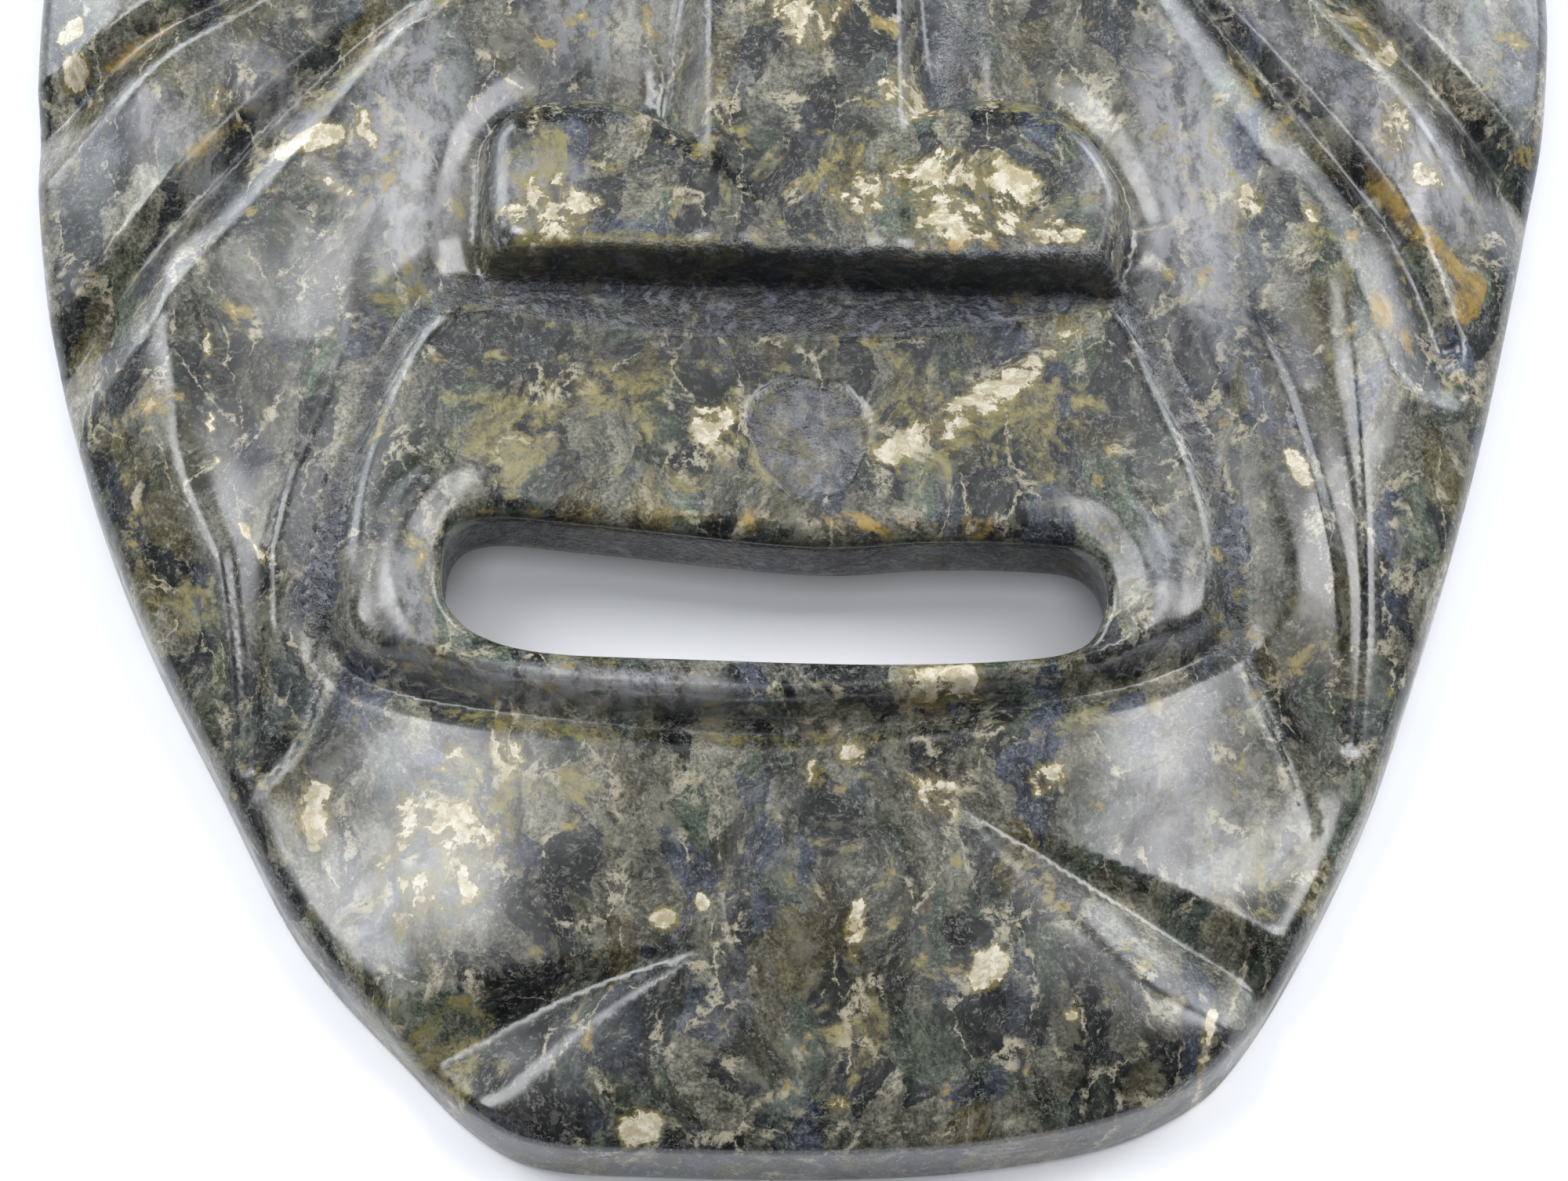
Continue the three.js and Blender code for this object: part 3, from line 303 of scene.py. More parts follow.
# dark patches: partly darker stone, partly painted shade on the upper walls of the cheek and chin cuts, under
# the nose, below the lip and over the chin
DARK_STONE_AND_PAINTED_SHADE = [
    (24.0, -66.0, 11.0, 6.0, 10, 0.9), (3.0, -63.0, 11.0, 9.0, 0, 0.8), (-16.0, -71.5, 12.0, 3.0, 0, 0.8),
    (0.0, -51.0, 13.0, 5.0, 0, 0.3), (-1.0, 2.0, 6.5, 8.0, 0, 0.8), (-1.5, -13.0, 8.0, 3.0, 0, 0.6),
    (41.0, -27.0, 5.0, 10.0, 12, 0.7), (-42.0, -14.0, 4.5, 10.0, 0, 0.6), (48.5, -36.0, 3.0, 9.0, 14, 0.8),
    (-52.0, -24.0, 3.0, 14.0, -14, 0.5), (20.0, -20.0, 9.0, 4.0, 0, 0.4), (-12.0, -22.0, 9.0, 2.5, 0, 0.5),
    (37.5, -59.0, 5.0, 5.0, 0, 0.6), (-33.0, -62.0, 4.0, 4.0, 0, 0.5), (0.0, -14.5, 28.0, 7.0, 0, 0.8),
    (43.0, 6.0, 2.0, 11.0, 36, 0.9), (52.5, 12.0, 2.2, 10.0, 43, 0.9), (-44.0, 3.5, 1.6, 12.0, -47, 0.6),
    (-50.0, 17.0, 1.6, 11.0, -56, 0.6), (0.0, -42.6, 30.0, 1.2, 0, 0.6)]

# How finely the surface is drawn: steps between two points of a curve, points of the loops that
# distances are measured to
CURVE_STEPS = 40
OUTLINE_POINTS = 300
MOUTH_POINTS = 160
PLATE_POINTS = 120
# spacing of the lattice on the face and on the back, and of the points on the outline
LATTICE = 0.52
BACK_LATTICE = 1.6
LOOP_STEP = 0.7
# share of the spacing that the lattice keeps from an edge
LATTICE_GAP = 0.6
# spacing of points on a crease, how far it keeps from an edge, how far the lattice keeps from it
CREASE_STEP = 0.5
CREASE_GAP = 0.3
CLEAR_OF_CREASE = 0.34
LEAST_CREASE_POINTS = 8
PLATE_CREASE_POINTS = 480
# creases along the underside of the nose: distances above its edge, and both ends
NOSE_CREASES = (-0.65, -0.45, -0.25, -0.1, 0.15, 0.65)
NOSE_CREASE_ENDS = (-23.0, 27.0)
MOUTH_EDGE_POINTS = 200
EYE_EDGE_POINTS = 110
RIM_STEPS = 6
WALL_STEPS = 5
FOOT_STEPS = 3
UNDER_STEPS = 4
HOLE_EDGE_STEPS = 5
HOLE_WALL_STEPS = 8
# length over which the slope beside an edge is measured
SLOPE_STEP = 0.3
# points a thousandth of a millimetre apart are one
WELD_PARTS = 1000
# the visible surface lies this far inside the solid's outline
SKIN = 0.04
# farther than any distance, and differences that don't count
FAR = 1e9
TINY = 1e-12
NOT_ZERO = 1e-9
SAME_PLACE = 1e-6


def smooth_min(a, b, reach):
    """The smaller of two heights, lowered by overlap^2 * reach / 4 where they come within reach of each
    other. The overlap is 1 - |a - b| / reach."""
    overlap = np.maximum(reach - np.abs(a - b), 0) / reach
    return np.minimum(a, b) - overlap * overlap * reach / 4


def smooth_max(a, b, reach):
    """The larger of two heights, rounded in the same way: minus the smaller of -a and -b."""
    return -smooth_min(-a, -b, reach)


def smoothstep(value, low, high):
    """0 below low, 1 above high, an S curve 3t^2 - 2t^3 between."""
    t = np.clip((value - low) / (high - low), 0, 1)
    return t * t * (3 - 2 * t)


def at_step(values, share):
    """A list of values at equal steps, read at a share from 0 to 1."""
    return np.interp(share, np.linspace(0, 1, len(values)), values)


def catmull_rom(before, start, end, after, f):
    """Uniform Catmull-Rom piece from start to end at parameter f."""
    return 0.5 * (2 * start + (end - before) * f + (2 * before - 5 * start + 4 * end - after) * f ** 2
                  + (3 * start - before - 3 * end + after) * f ** 3)


def curve(points, count, closed):
    """Catmull-Rom curve through the points, sampled at equal steps of length."""
    p = np.asarray(points, float)
    pieces = len(p) if closed else len(p) - 1
    t = np.linspace(0, pieces, pieces * CURVE_STEPS + 1)
    i = np.minimum(t.astype(int), pieces - 1)
    pick = (lambda k: p[k % len(p)]) if closed else (lambda k: p[np.clip(k, 0, len(p) - 1)])
    q = catmull_rom(pick(i - 1), pick(i), pick(i + 1), pick(i + 2), (t - i)[:, None])
    length = np.r_[0, np.cumsum(np.hypot(*np.diff(q, axis=0).T))]
    s = np.linspace(0, length[-1], count, endpoint=not closed)
    return np.c_[np.interp(s, length, q[:, 0]), np.interp(s, length, q[:, 1])]


def eye_curve(eye, count):
    """An eye: x = +-a |cos|^0.8, y = +-b |sin|^0.9 about its middle, tilted, clockwise."""
    angle = -2 * math.pi * np.arange(count) / count
    c, s = np.cos(angle), np.sin(angle)
    x = EYE_HALF_LENGTH * np.sign(c) * np.abs(c) ** EYE_POWERS[0]
    y = EYE_HALF_HEIGHT * np.sign(s) * np.abs(s) ** EYE_POWERS[1]
    along, up = math.cos(math.radians(eye[2])), math.sin(math.radians(eye[2]))
    return np.c_[eye[0] + x * along - y * up, eye[1] + x * up + y * along]


def nearest(x, y, path, closed=False):
    """Distance to a path, positive on the left of travel, and the share of the path passed there."""
    a = path if closed else path[:-1]
    b = np.roll(path, -1, 0) if closed else path[1:]
    best = np.full(x.shape, FAR)
    side = np.ones(x.shape)
    share = np.zeros(x.shape)
    for i, ((ax, ay), (bx, by)) in enumerate(zip(a, b)):
        dx, dy = bx - ax, by - ay
        px, py = x - ax, y - ay
        on = np.clip((px * dx + py * dy) / (dx * dx + dy * dy), 0, 1)
        away = (px - on * dx) ** 2 + (py - on * dy) ** 2
        closer = away < best - TINY
        best[closer] = away[closer]
        side[closer] = np.where(dx * py - dy * px < 0, -1.0, 1.0)[closer]
        share[closer] = ((i + on) / len(a))[closer]
    return np.sqrt(best) * side, share


def depth_inside(x, y, loop):
    """Distance inside a closed loop, negative outside it."""
    away = np.abs(nearest(x, y, loop, True)[0])
    inside = np.zeros(x.shape, bool)
    for (ax, ay), (bx, by) in zip(loop, np.roll(loop, -1, 0)):
        if ay != by:
            inside ^= ((ay > y) != (by > y)) & (x < (bx - ax) * (y - ay) / (by - ay) + ax)
    return np.where(inside, away, -away)


def cut_depth(x, y, cut, shape):
    """Depth of a cut: depth(t) * (1 - (|distance| / width(t)) ^ power), its valley and edges eased."""
    path, depth, left, right = cut
    edge, valley, power = shape
    line = curve(path, PATH_STEPS + 1, False)
    reach = CUT_REACH * max(*left, *right)
    low, high = line.min(0) - reach, line.max(0) + reach
    near = (x > low[0]) & (x < high[0]) & (y > low[1]) & (y < high[1])
    result = np.zeros(x.shape)
    distance, share = nearest(x[near], y[near], line)
    width = np.where(distance > 0, at_step(left, share), at_step(right, share))
    wall = 1 - np.hypot(distance / width, valley) ** power
    result[near] = at_step(depth, share) * smooth_max(wall, np.zeros_like(wall), edge)
    return result


def swelling(x, y, at, size, turn):
    """A soft round rise exp(-(u/a)^2 - (v/b)^2)."""
    c, s = math.cos(math.radians(turn)), math.sin(math.radians(turn))
    u = (x - at[0]) * c + (y - at[1]) * s
    v = (y - at[1]) * c - (x - at[0]) * s
    return np.exp(-(u / size[0]) ** 2 - (v / size[1]) ** 2)


def outside_wing(x, y, wing):
    """Distance outside a wing, a box with a bowed top and round corners, and how far the top is nearest."""
    left, right, corner, highest, _ = wing
    top = WING_TOP - WING_TOP_BOW * (x - highest) ** 2
    middle = (WING_BOTTOM + top) / 2
    r = np.where(y > middle, corner, WING_LOWER_CORNER)
    taper = WING_TAPER * np.maximum(WING_TAPER_TOP - y, 0)
    qx = np.abs(x - (left + right) / 2) - (right - left) / 2 + r + taper
    qy = np.abs(y - middle) - (top - WING_BOTTOM) / 2 + r
    ax, ay = np.maximum(qx, 0), np.maximum(qy, 0)
    share = np.where(y > middle, ay * ay / np.maximum(ax * ax + ay * ay, NOT_ZERO), 0)
    return np.minimum(np.maximum(qx, qy), 0) + np.hypot(ax, ay) - r, share


def with_shoulder(x, y, wing, ridge):
    """Height of a wing: the ridge, rounded down as a quarter ellipse to its edge, then steep."""
    outside, top = outside_wing(x, y, wing)
    run = wing[4] + (SHOULDER_TOP_RUN - wing[4]) * top
    drop = SHOULDER_DROP[0] + (SHOULDER_DROP[1] - SHOULDER_DROP[0]) * top
    short = np.clip(1 + outside / run, 0, 1)
    return ridge - drop * (1 - np.sqrt(1 - short ** 2)) - WING_SIDE_SLOPE * np.maximum(outside, 0)


OUTLINE_LOOP = curve(OUTLINE, OUTLINE_POINTS, True)[::-1]
MOUTH_LOOP = curve(MOUTH, MOUTH_POINTS, True)
PLATE_LOOP = curve(PLATE, PLATE_POINTS, True)


def plain_face(x, y):
    """A curve through the heights down the middle, less a parabola to the sides and the fall of the
    jowls, plus the swellings. It is never above the bevel, which rises evenly from the rim."""
    place = (y - FIELD_START) / FIELD_STEP
    i = np.clip(np.floor(place).astype(int), 0, len(FIELD) - 2)
    pick = lambda k: FIELD[np.clip(k, 0, len(FIELD) - 1)]
    z = catmull_rom(pick(i - 1), pick(i), pick(i + 1), pick(i + 2), place - i)
    z = z - CROWN_DROP * ((x - FACE_MIDDLE) / CROWN_HALF_WIDTH) ** 2
    jowl = 1 - np.exp(-((x - FACE_MIDDLE) / JOWL_HALF_WIDTH) ** 4)
    z = smooth_max(z - JOWL_FALL * jowl * smoothstep(-y, JOWL_START, JOWL_END), JOWL_LEAST + 0 * z, JOWL_EASE)
    for at, size, height, turn in SWELLINGS:
        z = z + height * swelling(x, y, at, size, turn)
    return smooth_min(z, RIM_HEIGHT + BEVEL_SLOPE * depth_inside(x, y, OUTLINE_LOOP), BEVEL_EASE)


def with_plate(x, y, z):
    """The plate round the mouth: the smaller of its top and of a slope climbing from its edge. The V moat
    outside it grows shallower evenly. The lip and the mouth corners are rolled up by exp(-t^2)."""
    inset = depth_inside(x, y, PLATE_LOOP)
    across = np.abs(x - MOUTH_MIDDLE)
    low = smoothstep(-y - LIP_START, 0, LIP_RUN)
    corner = CORNER_SHARE * smoothstep(across - CORNER_START, 0, CORNER_RUN)
    from_roll = (-depth_inside(x, y, MOUTH_LOOP) - ROLL_AWAY) / ROLL_WIDTH
    roll = np.maximum(low, corner) * ROLL_HEIGHT * np.exp(-from_roll ** 2)
    swell = PLATE_SWELL_HEIGHT * np.exp(-((y - PLATE_SWELL_Y) / PLATE_SWELL_HALF_WIDTH) ** 2)
    top = PLATE_TOP + swell + roll - PLATE_END_FALL * smoothstep(across, *PLATE_ENDS) - LIP_DROP * low
    level = np.sqrt(np.maximum(1 - (x / UNDER_NOSE_HALF_WIDTH) ** 2, 0))
    under_nose = level * smoothstep(y - UNDER_NOSE_START, 0, UNDER_NOSE_RUN)
    climb = EDGE_SLOPE + EDGE_SLOPE_AT_LIP * low - EDGE_SLOPE_UNDER_NOSE * under_nose
    ease = EDGE_EASE[0] + (EDGE_EASE[1] - EDGE_EASE[0]) * low
    pad = smooth_min(top, z - PLATE_MOAT + climb * inset, ease)
    width = PLATE_MOAT_WIDTH[0] + (PLATE_MOAT_WIDTH[1] - PLATE_MOAT_WIDTH[0]) * low
    moat = z - PLATE_MOAT * smooth_max(1 + inset / width, 0 * z, PLATE_MOAT_EASE)
    return np.where(inset > 0, pad, np.where(inset < -PLATE_REACH, z, moat))


def with_nose(x, y, z):
    """The nose: the larger of a flat bridge with sloping sides and of two wings, cut off by a steep plane
    below. The moat round the wings is lowered by exp(-t^2)."""
    ridge = NOSE_TIP - NOSE_FALL * (y - NOSE_BOTTOM)
    side = BRIDGE_SIDE_SLOPE * (np.abs(x - NOSE_MIDDLE) - BRIDGE_HALF_WIDTH)
    bridge = smooth_min(ridge, ridge - side, BRIDGE_EDGE_EASE)
    bridge = bridge - FADE_DROP * smoothstep(y - BROW_MIDDLE, 0, BRIDGE_END)
    wings = np.maximum(*[with_shoulder(x, y, wing, ridge) for wing in WINGS])
    ahead = y - NOSE_BOTTOM + UNDERSIDE_LEAD + NOSE_TILT * x
    underside = UNDERSIDE_FOOT + ahead * UNDERSIDE_SLOPE
    short = np.clip(1 - ahead / UNDERSIDE_ROUND, 0, 1)
    top = smooth_max(bridge, wings, WING_EASE) - UNDERSIDE_ROUND * (1 - np.sqrt(1 - short ** 2))
    block = smooth_min(top, underside, NOSE_EDGE_ROUND)
    outside = np.minimum(*[outside_wing(x, y, wing)[0] for wing in WINGS])
    moat = np.exp(-((outside - NOSE_MOAT_AWAY) / NOSE_MOAT_WIDTH) ** 2)
    low = z - NOSE_MOAT * moat * smoothstep(y - NOSE_MOAT_START, 0, NOSE_MOAT_RUN)
    for groove in BRIDGE_GROOVES:
        low = low - cut_depth(x, y, groove, CUT_SHAPE)
    return np.where(y > NOSE_REACH, smooth_max(low, block, NOSE_FOOT_EASE), low)


def with_brow(x, y, z):
    """Eye sockets, each a soft round hollow, and the brow bar, the smaller of its top, a parabola, and of
    its sloping sides."""
    for eye in EYES:
        z = z - SOCKET_DEPTH * swelling(x, y, (eye[0], eye[1] + SOCKET_ABOVE), SOCKET_SIZE, 0)
    away = np.abs(y - BROW_MIDDLE + BROW_BOW * (x - NOSE_MIDDLE) ** 2)
    top = BROW_HEIGHT - BROW_FALL * (x - NOSE_MIDDLE) ** 2
    side = top + BROW_EDGE_RISE - BROW_SIDE_SLOPE * (away - BROW_HALF_WIDTH)
    bar = smooth_min(top, side, BROW_EASE)
    fade = smoothstep(np.abs(x - NOSE_MIDDLE) - BROW_HALF_LENGTH, 0, BROW_FADE)
    return smooth_max(z, bar - FADE_DROP * fade, BROW_EASE)


def waves(x, y, length, seed):
    """Soft random waves about 0: random heights on a square lattice, joined by 6t^5 - 15t^4 + 10t^3."""
    rng = np.random.default_rng(seed)
    heights = rng.uniform(-1, 1, (WAVE_SQUARES, WAVE_SQUARES))
    u, v = x / length + WAVE_START, y / length + WAVE_START
    i, j = np.floor(u).astype(int), np.floor(v).astype(int)
    f, g = u - i, v - j
    f, g = f ** 3 * (f * (6 * f - 15) + 10), g ** 3 * (g * (6 * g - 15) + 10)
    pick = lambda a, b: heights[a % WAVE_SQUARES, b % WAVE_SQUARES]
    low = pick(i, j) * (1 - f) + pick(i + 1, j) * f
    high = pick(i, j + 1) * (1 - f) + pick(i + 1, j + 1) * f
    return low * (1 - g) + high * g


def uneven(x, y, table):
    """Sum of soft random waves, each of its own height, length and seed."""
    return sum(height * waves(x, y, length, seed) for height, length, seed in table)


def scar_loop(scale):
    """Edge of the chip, scaled about its middle: an ellipse times 1 plus, for each bulge, its height
    times sin(how many * t + turn)."""
    t = np.linspace(0, 2 * math.pi, SCAR_POINTS, endpoint=False)
    radius = scale * (1 + sum(rise * np.sin(count * t + turn) for rise, count, turn in SCAR_BULGES))
    return np.array(SCAR_AT) + np.array(SCAR_SIZE) * np.c_[radius * np.cos(t), radius * np.sin(t)]


def chipped(x, y):
    """Share of the chip's depth, 0 at its edge and 1 from a short step inside it."""
    return smoothstep(depth_inside(x, y, scar_loop(1.0)), 0, SCAR_EDGE)


def roughly_cut(x, y):
    """Share of unpolished stone, 0 to 1: the moat, the strip under the nose, the right groove beside
    the bridge, the two crease cuts and the chip. The strongest one counts."""
    away = np.abs(depth_inside(x, y, PLATE_LOOP) + MOAT_SCRATCHED_AWAY)
    moat = smoothstep(MOAT_SCRATCHED - away, 0, MOAT_SCRATCHED_EASE)
    moat = moat * (1 - smoothstep(MOAT_SCRATCHED_END - y, 0, MOAT_SCRATCHED_FADE))
    strip = smoothstep(y - STRIP_BOTTOM - STRIP_BOW * x * x, *STRIP_EASE)
    strip = strip * (y < NOSE_BOTTOM - STRIP_GAP - NOSE_TILT * x)
    strip = strip * smoothstep(STRIP_HALF_LENGTH - np.abs(x), 0, STRIP_FADE)
    groove = cut_depth(x, y, BRIDGE_GROOVES[1], CUT_SHAPE)
    crease = np.maximum(*[cut_depth(x, y, cut, CUT_SHAPE) for cut in CUTS[-2:]])
    shares = [MOAT_SHARE * moat, SCAR_SHARE * chipped(x, y), strip, GROOVE_SHARE * groove,
              CREASE_SHARE * crease]
    return np.clip(np.maximum.reduce(shares), 0, 1)


def patches(x, y, table):
    """Share of a coloured patch, 0 to 1: ellipses with soft edges, the strongest one counts."""
    share = np.zeros(x.shape)
    for at_x, at_y, half_x, half_y, turn, strength in table:
        c, s = math.cos(math.radians(turn)), math.sin(math.radians(turn))
        u = (x - at_x) * c + (y - at_y) * s
        v = (y - at_y) * c - (x - at_x) * s
        inside = smoothstep(PATCH_REACH - np.hypot(u / half_x, v / half_y), 0, PATCH_EASE)
        share = np.maximum(share, strength * inside)
    return share


def face(x, y):
    """Height of the carved face over the table: the plain face less the troughs, with the plate, the
    nose and the brow, less the cuts."""
    z = plain_face(x, y)
    for trough in TROUGHS:
        z = z - cut_depth(x, y, trough, TROUGH_SHAPE)
    z = with_brow(x, y, with_nose(x, y, with_plate(x, y, z)))
    for cut in CUTS:
        z = z - cut_depth(x, y, cut, CUT_SHAPE)
    return z


def finished_face(x, y):
    """The carved face less the chip, plus the waves of hand polishing and those of unpolished stone."""
    z = face(x, y) - SCAR_DEPTH * chipped(x, y) * (1 + uneven(x, y, SCAR_WAVES))
    z = z + uneven(x, y, POLISH_WAVES) + roughly_cut(x, y) * uneven(x, y, ROUGH_WAVES)
    return np.minimum(z, HIGHEST)


def ceiling(x, y):
    """Height of the hollow back: a quarter sine rising from its edge."""
    rise = np.clip(depth_inside(x, y, OUTLINE_LOOP * HOLLOW_SCALE) / HOLLOW_RISE, 0, 1)
    return HOLLOW_DEPTH * np.sin(0.5 * math.pi * rise)


def shifted(loop, distance):
    """A loop stepped to the left of travel, into the stone, by one distance or one for each point."""
    along = np.roll(loop, -1, 0) - np.roll(loop, 1, 0)
    along /= np.hypot(*along.T)[:, None]
    return loop + np.reshape(distance, (-1, 1)) * np.c_[-along[:, 1], along[:, 0]]


def rim_radius(loop):
    """Radius of the rim's rounding: tight along the chin, wide elsewhere."""
    return CHIN_ROUND + (RIM_ROUND - CHIN_ROUND) * smoothstep(loop[:, 1], CHIN_ROUND_TO, RIM_ROUND_FROM)


def with_height(loop, z):
    """A flat loop lifted to one height, or each of its points to its own."""
    return np.c_[loop, np.broadcast_to(z, len(loop))]


def edge_slope(loop, radius):
    """Angle of the face where the rounding starts: the arctangent of its fall over a short step."""
    near, far = shifted(loop, 0.5 * radius), shifted(loop, 0.5 * radius + SLOPE_STEP)
    return np.clip(np.arctan((face(*far.T) - face(*near.T)) / SLOPE_STEP), 0, 1)


def rounded_edge(loop, radius, steps):
    """Loops over a round edge that starts along the face, at its angle b, and ends upright: at angle a,
    from b to 90 degrees, the loop lies r(1 - sin a) inside and r(cos b - cos a) below the first."""
    radius = np.broadcast_to(radius, len(loop))
    start = edge_slope(loop, radius)
    inner = shifted(loop, radius * (1 - np.sin(start)))
    height = finished_face(*inner.T)
    loops = []
    for share in np.linspace(0, 1, steps + 1):
        a = start + share * (0.5 * math.pi - start)
        level = shifted(loop, radius * (1 - np.sin(a)))
        loops.append(with_height(level, height - radius * (np.cos(start) - np.cos(a))))
    return loops


def wall(top, bottom, steps):
    """Loops from one loop down to another, evenly spaced, without the first."""
    return [top + (bottom - top) * k / steps for k in range(1, steps + 1)]


def band_faces(loops):
    """Quads between successive loops of as many points, numbered one loop after another."""
    rows, count = len(loops), len(loops[0])
    index = np.arange(rows * count).reshape(rows, count)
    after = np.roll(index, -1, 1)
    return np.stack([index[:-1], index[1:], after[1:], after[:-1]], -1).reshape(-1, 4)


def within(x, y, outer, holes, gap):
    """Points inside the outer loop and outside every hole, by more than the gap."""
    keep = depth_inside(x, y, outer) > gap
    for hole in holes:
        keep &= depth_inside(x, y, hole) < -gap
    return keep


def triangulated(outer, holes, creases, height, step):
    """A region with holes, in triangles over a lattice of points with z = height(x, y). The loops and the
    crease lines stay as edges."""
    loops = [outer, *holes]
    low, high = outer.min(0), outer.max(0)
    gx = np.arange(low[0], high[0], step)
    gy = np.arange(low[1], high[1], step * math.sqrt(0.75))
    x, y = np.meshgrid(gx, gy)
    x = x + (np.arange(len(gy)) % 2)[:, None] * step / 2
    x, y = x.ravel(), y.ravel()
    keep = within(x, y, outer, holes, LATTICE_GAP * step)
    x, y = x[keep], y[keep]
    clear = np.ones(len(x), bool)
    kept = []
    for line in creases:
        ok = within(*line.T, outer, holes, CREASE_GAP)
        turns = np.flatnonzero(np.diff(ok.astype(int))) + 1
        kept += [run for run, use in zip(np.split(line, turns), np.split(ok, turns))
                 if use[0] and len(run) > 1]
        low, high = line.min(0) - 2 * CLEAR_OF_CREASE, line.max(0) + 2 * CLEAR_OF_CREASE
        near = (x > low[0]) & (x < high[0]) & (y > low[1]) & (y < high[1])
        clear[near] &= np.abs(nearest(x[near], y[near], line)[0]) > CLEAR_OF_CREASE
    points = [*loops, *kept, np.c_[x[clear], y[clear]]]
    edges, start = [], 0
    for loop in loops:
        index = start + np.arange(len(loop))
        edges.append(np.c_[index, np.roll(index, -1)])
        start += len(loop)
    for line in kept:
        index = start + np.arange(len(line))
        edges.append(np.c_[index[:-1], index[1:]])
        start += len(line)
    flat = [Vector(point) for point in np.vstack(points).tolist()]
    found = delaunay_2d_cdt(flat, np.vstack(edges).tolist(), [], 0, SAME_PLACE)
    xy = np.array([tuple(point) for point in found[0]])
    faces = np.array(found[2])
    inside = within(*xy[faces].mean(1).T, outer, holes, 0)
    return np.c_[xy, height(*xy.T)], faces[inside]


def beside(path, widths, side):
    """A line at the given widths to one side of a path: +1 left of travel, -1 right."""
    length = np.hypot(*(np.array(path[-1]) - path[0]))
    line = curve(path, max(LEAST_CREASE_POINTS, int(length / CREASE_STEP)), False)
    along = np.gradient(line, axis=0)
    along /= np.hypot(*along.T)[:, None]
    width = at_step(widths, np.linspace(0, 1, len(line)))
    return line + side * width[:, None] * np.c_[-along[:, 1], along[:, 0]]


def crease_lines():
    """Lines where the face bends sharply: valleys and arrises of the cuts, edges of the plate, the chip
    and the underside of the nose."""
    lines = []
    for path, depth, left, right in CUTS + BRIDGE_GROOVES:
        lines += [beside(path, (0, 0), 1), beside(path, left, 1), beside(path, right, -1)]
    plate = curve(PLATE, PLATE_CREASE_POINTS, True)
    for loop in (plate, scar_loop(1.0), scar_loop(1 - SCAR_EDGE / SCAR_SIZE[0])):
        lines.append(np.vstack([loop, loop[:1]]))
    x = np.arange(*NOSE_CREASE_ENDS, CREASE_STEP)
    return lines + [np.c_[x, NOSE_BOTTOM - NOSE_TILT * x + rise] for rise in NOSE_CREASES]


def weld(parts):
    """One mesh from parts of points and faces, points within a thousandth of a millimetre made one."""
    points = np.vstack([part[0] for part in parts])
    faces, start = [], 0
    for part_points, part_faces in parts:
        faces.append(part_faces + start)
        start += len(part_points)
    _, first, index = np.unique(np.round(points * WELD_PARTS).astype(np.int64), axis=0,
                                return_index=True, return_inverse=True)
    return points[first], [index.ravel()[group] for group in faces]


def stone_mesh():
    """Front, rounded rim, wall, foot, hollow back and the walls of the mouth and eyes, welded."""
    length = np.hypot(*np.diff(np.vstack([OUTLINE_LOOP, OUTLINE_LOOP[:1]]), axis=0).T).sum()
    outline = shifted(curve(OUTLINE, int(length / LOOP_STEP), True)[::-1], SKIN)
    holes = [curve(MOUTH, MOUTH_EDGE_POINTS, True)] + [eye_curve(eye, EYE_EDGE_POINTS) for eye in EYES]
    rim = rounded_edge(outline, rim_radius(outline), RIM_STEPS)
    foot_top = with_height(outline, FOOT_ROUND)
    angles = 0.5 * math.pi * np.arange(1, FOOT_STEPS + 1) / FOOT_STEPS
    foot = [with_height(shifted(outline, FOOT_ROUND * (1 - math.cos(a))), FOOT_ROUND * (1 - math.sin(a)))
            for a in angles]
    hollow = with_height(outline * HOLLOW_SCALE, 0)
    outer_loops = [*rim, *wall(rim[-1], foot_top, WALL_STEPS), *foot, *wall(foot[-1], hollow, UNDER_STEPS)]
    parts = [(np.vstack(outer_loops), band_faces(outer_loops))]
    fronts, backs = [], []
    for loop in holes:
        edge = rounded_edge(loop, HOLE_ROUND, HOLE_EDGE_STEPS)
        back = with_height(loop, ceiling(*loop.T))
        loops = [*edge, *wall(edge[-1], back, HOLE_WALL_STEPS)]
        parts.append((np.vstack(loops), band_faces(loops)))
        fronts.append(edge[0][:, :2])
        backs.append(loop)
    parts.append(triangulated(rim[0][:, :2], fronts, crease_lines(), finished_face, LATTICE))
    under, faces = triangulated(hollow[:, :2], backs, [], ceiling, BACK_LATTICE)
    parts.append((under, faces[:, ::-1]))
    return weld(parts)


def new_object(name, points, faces, smooth=True):
    """An object from points in millimetres and groups of faces of as many corners."""
    mesh = bpy.data.meshes.new(name)
    mesh.from_pydata((points * MM).tolist(), [], [row for group in faces for row in group.tolist()])
    mesh.polygons.foreach_set("use_smooth", np.full(len(mesh.polygons), smooth))
    mesh.update()
    made = bpy.data.objects.new(name, mesh)
    bpy.context.collection.objects.link(made)
    return made


def bare_stone_and_slot_shade(points):
    """Share of unpolished stone at each point: that of the front, and one for the walls of the mouth, where
    its darker colour is painted shade.
    """
    x, y, z = points.T
    share = np.zeros(len(points))
    on_front = z > FRONT_ABOVE
    share[on_front] = roughly_cut(x[on_front], y[on_front])
    in_slot = np.abs(depth_inside(x, y, MOUTH_LOOP)) < SLOT_WALL
    share[in_slot & (z < SLOT_WALL_TOP)] = SLOT_WALL_BARE_AND_SHADE_SHARE
    return share


points, faces = stone_mesh()
stone = new_object("carved_stone", points, faces)
shares = {"rough_cut_and_slot_shade": bare_stone_and_slot_shade(points)}
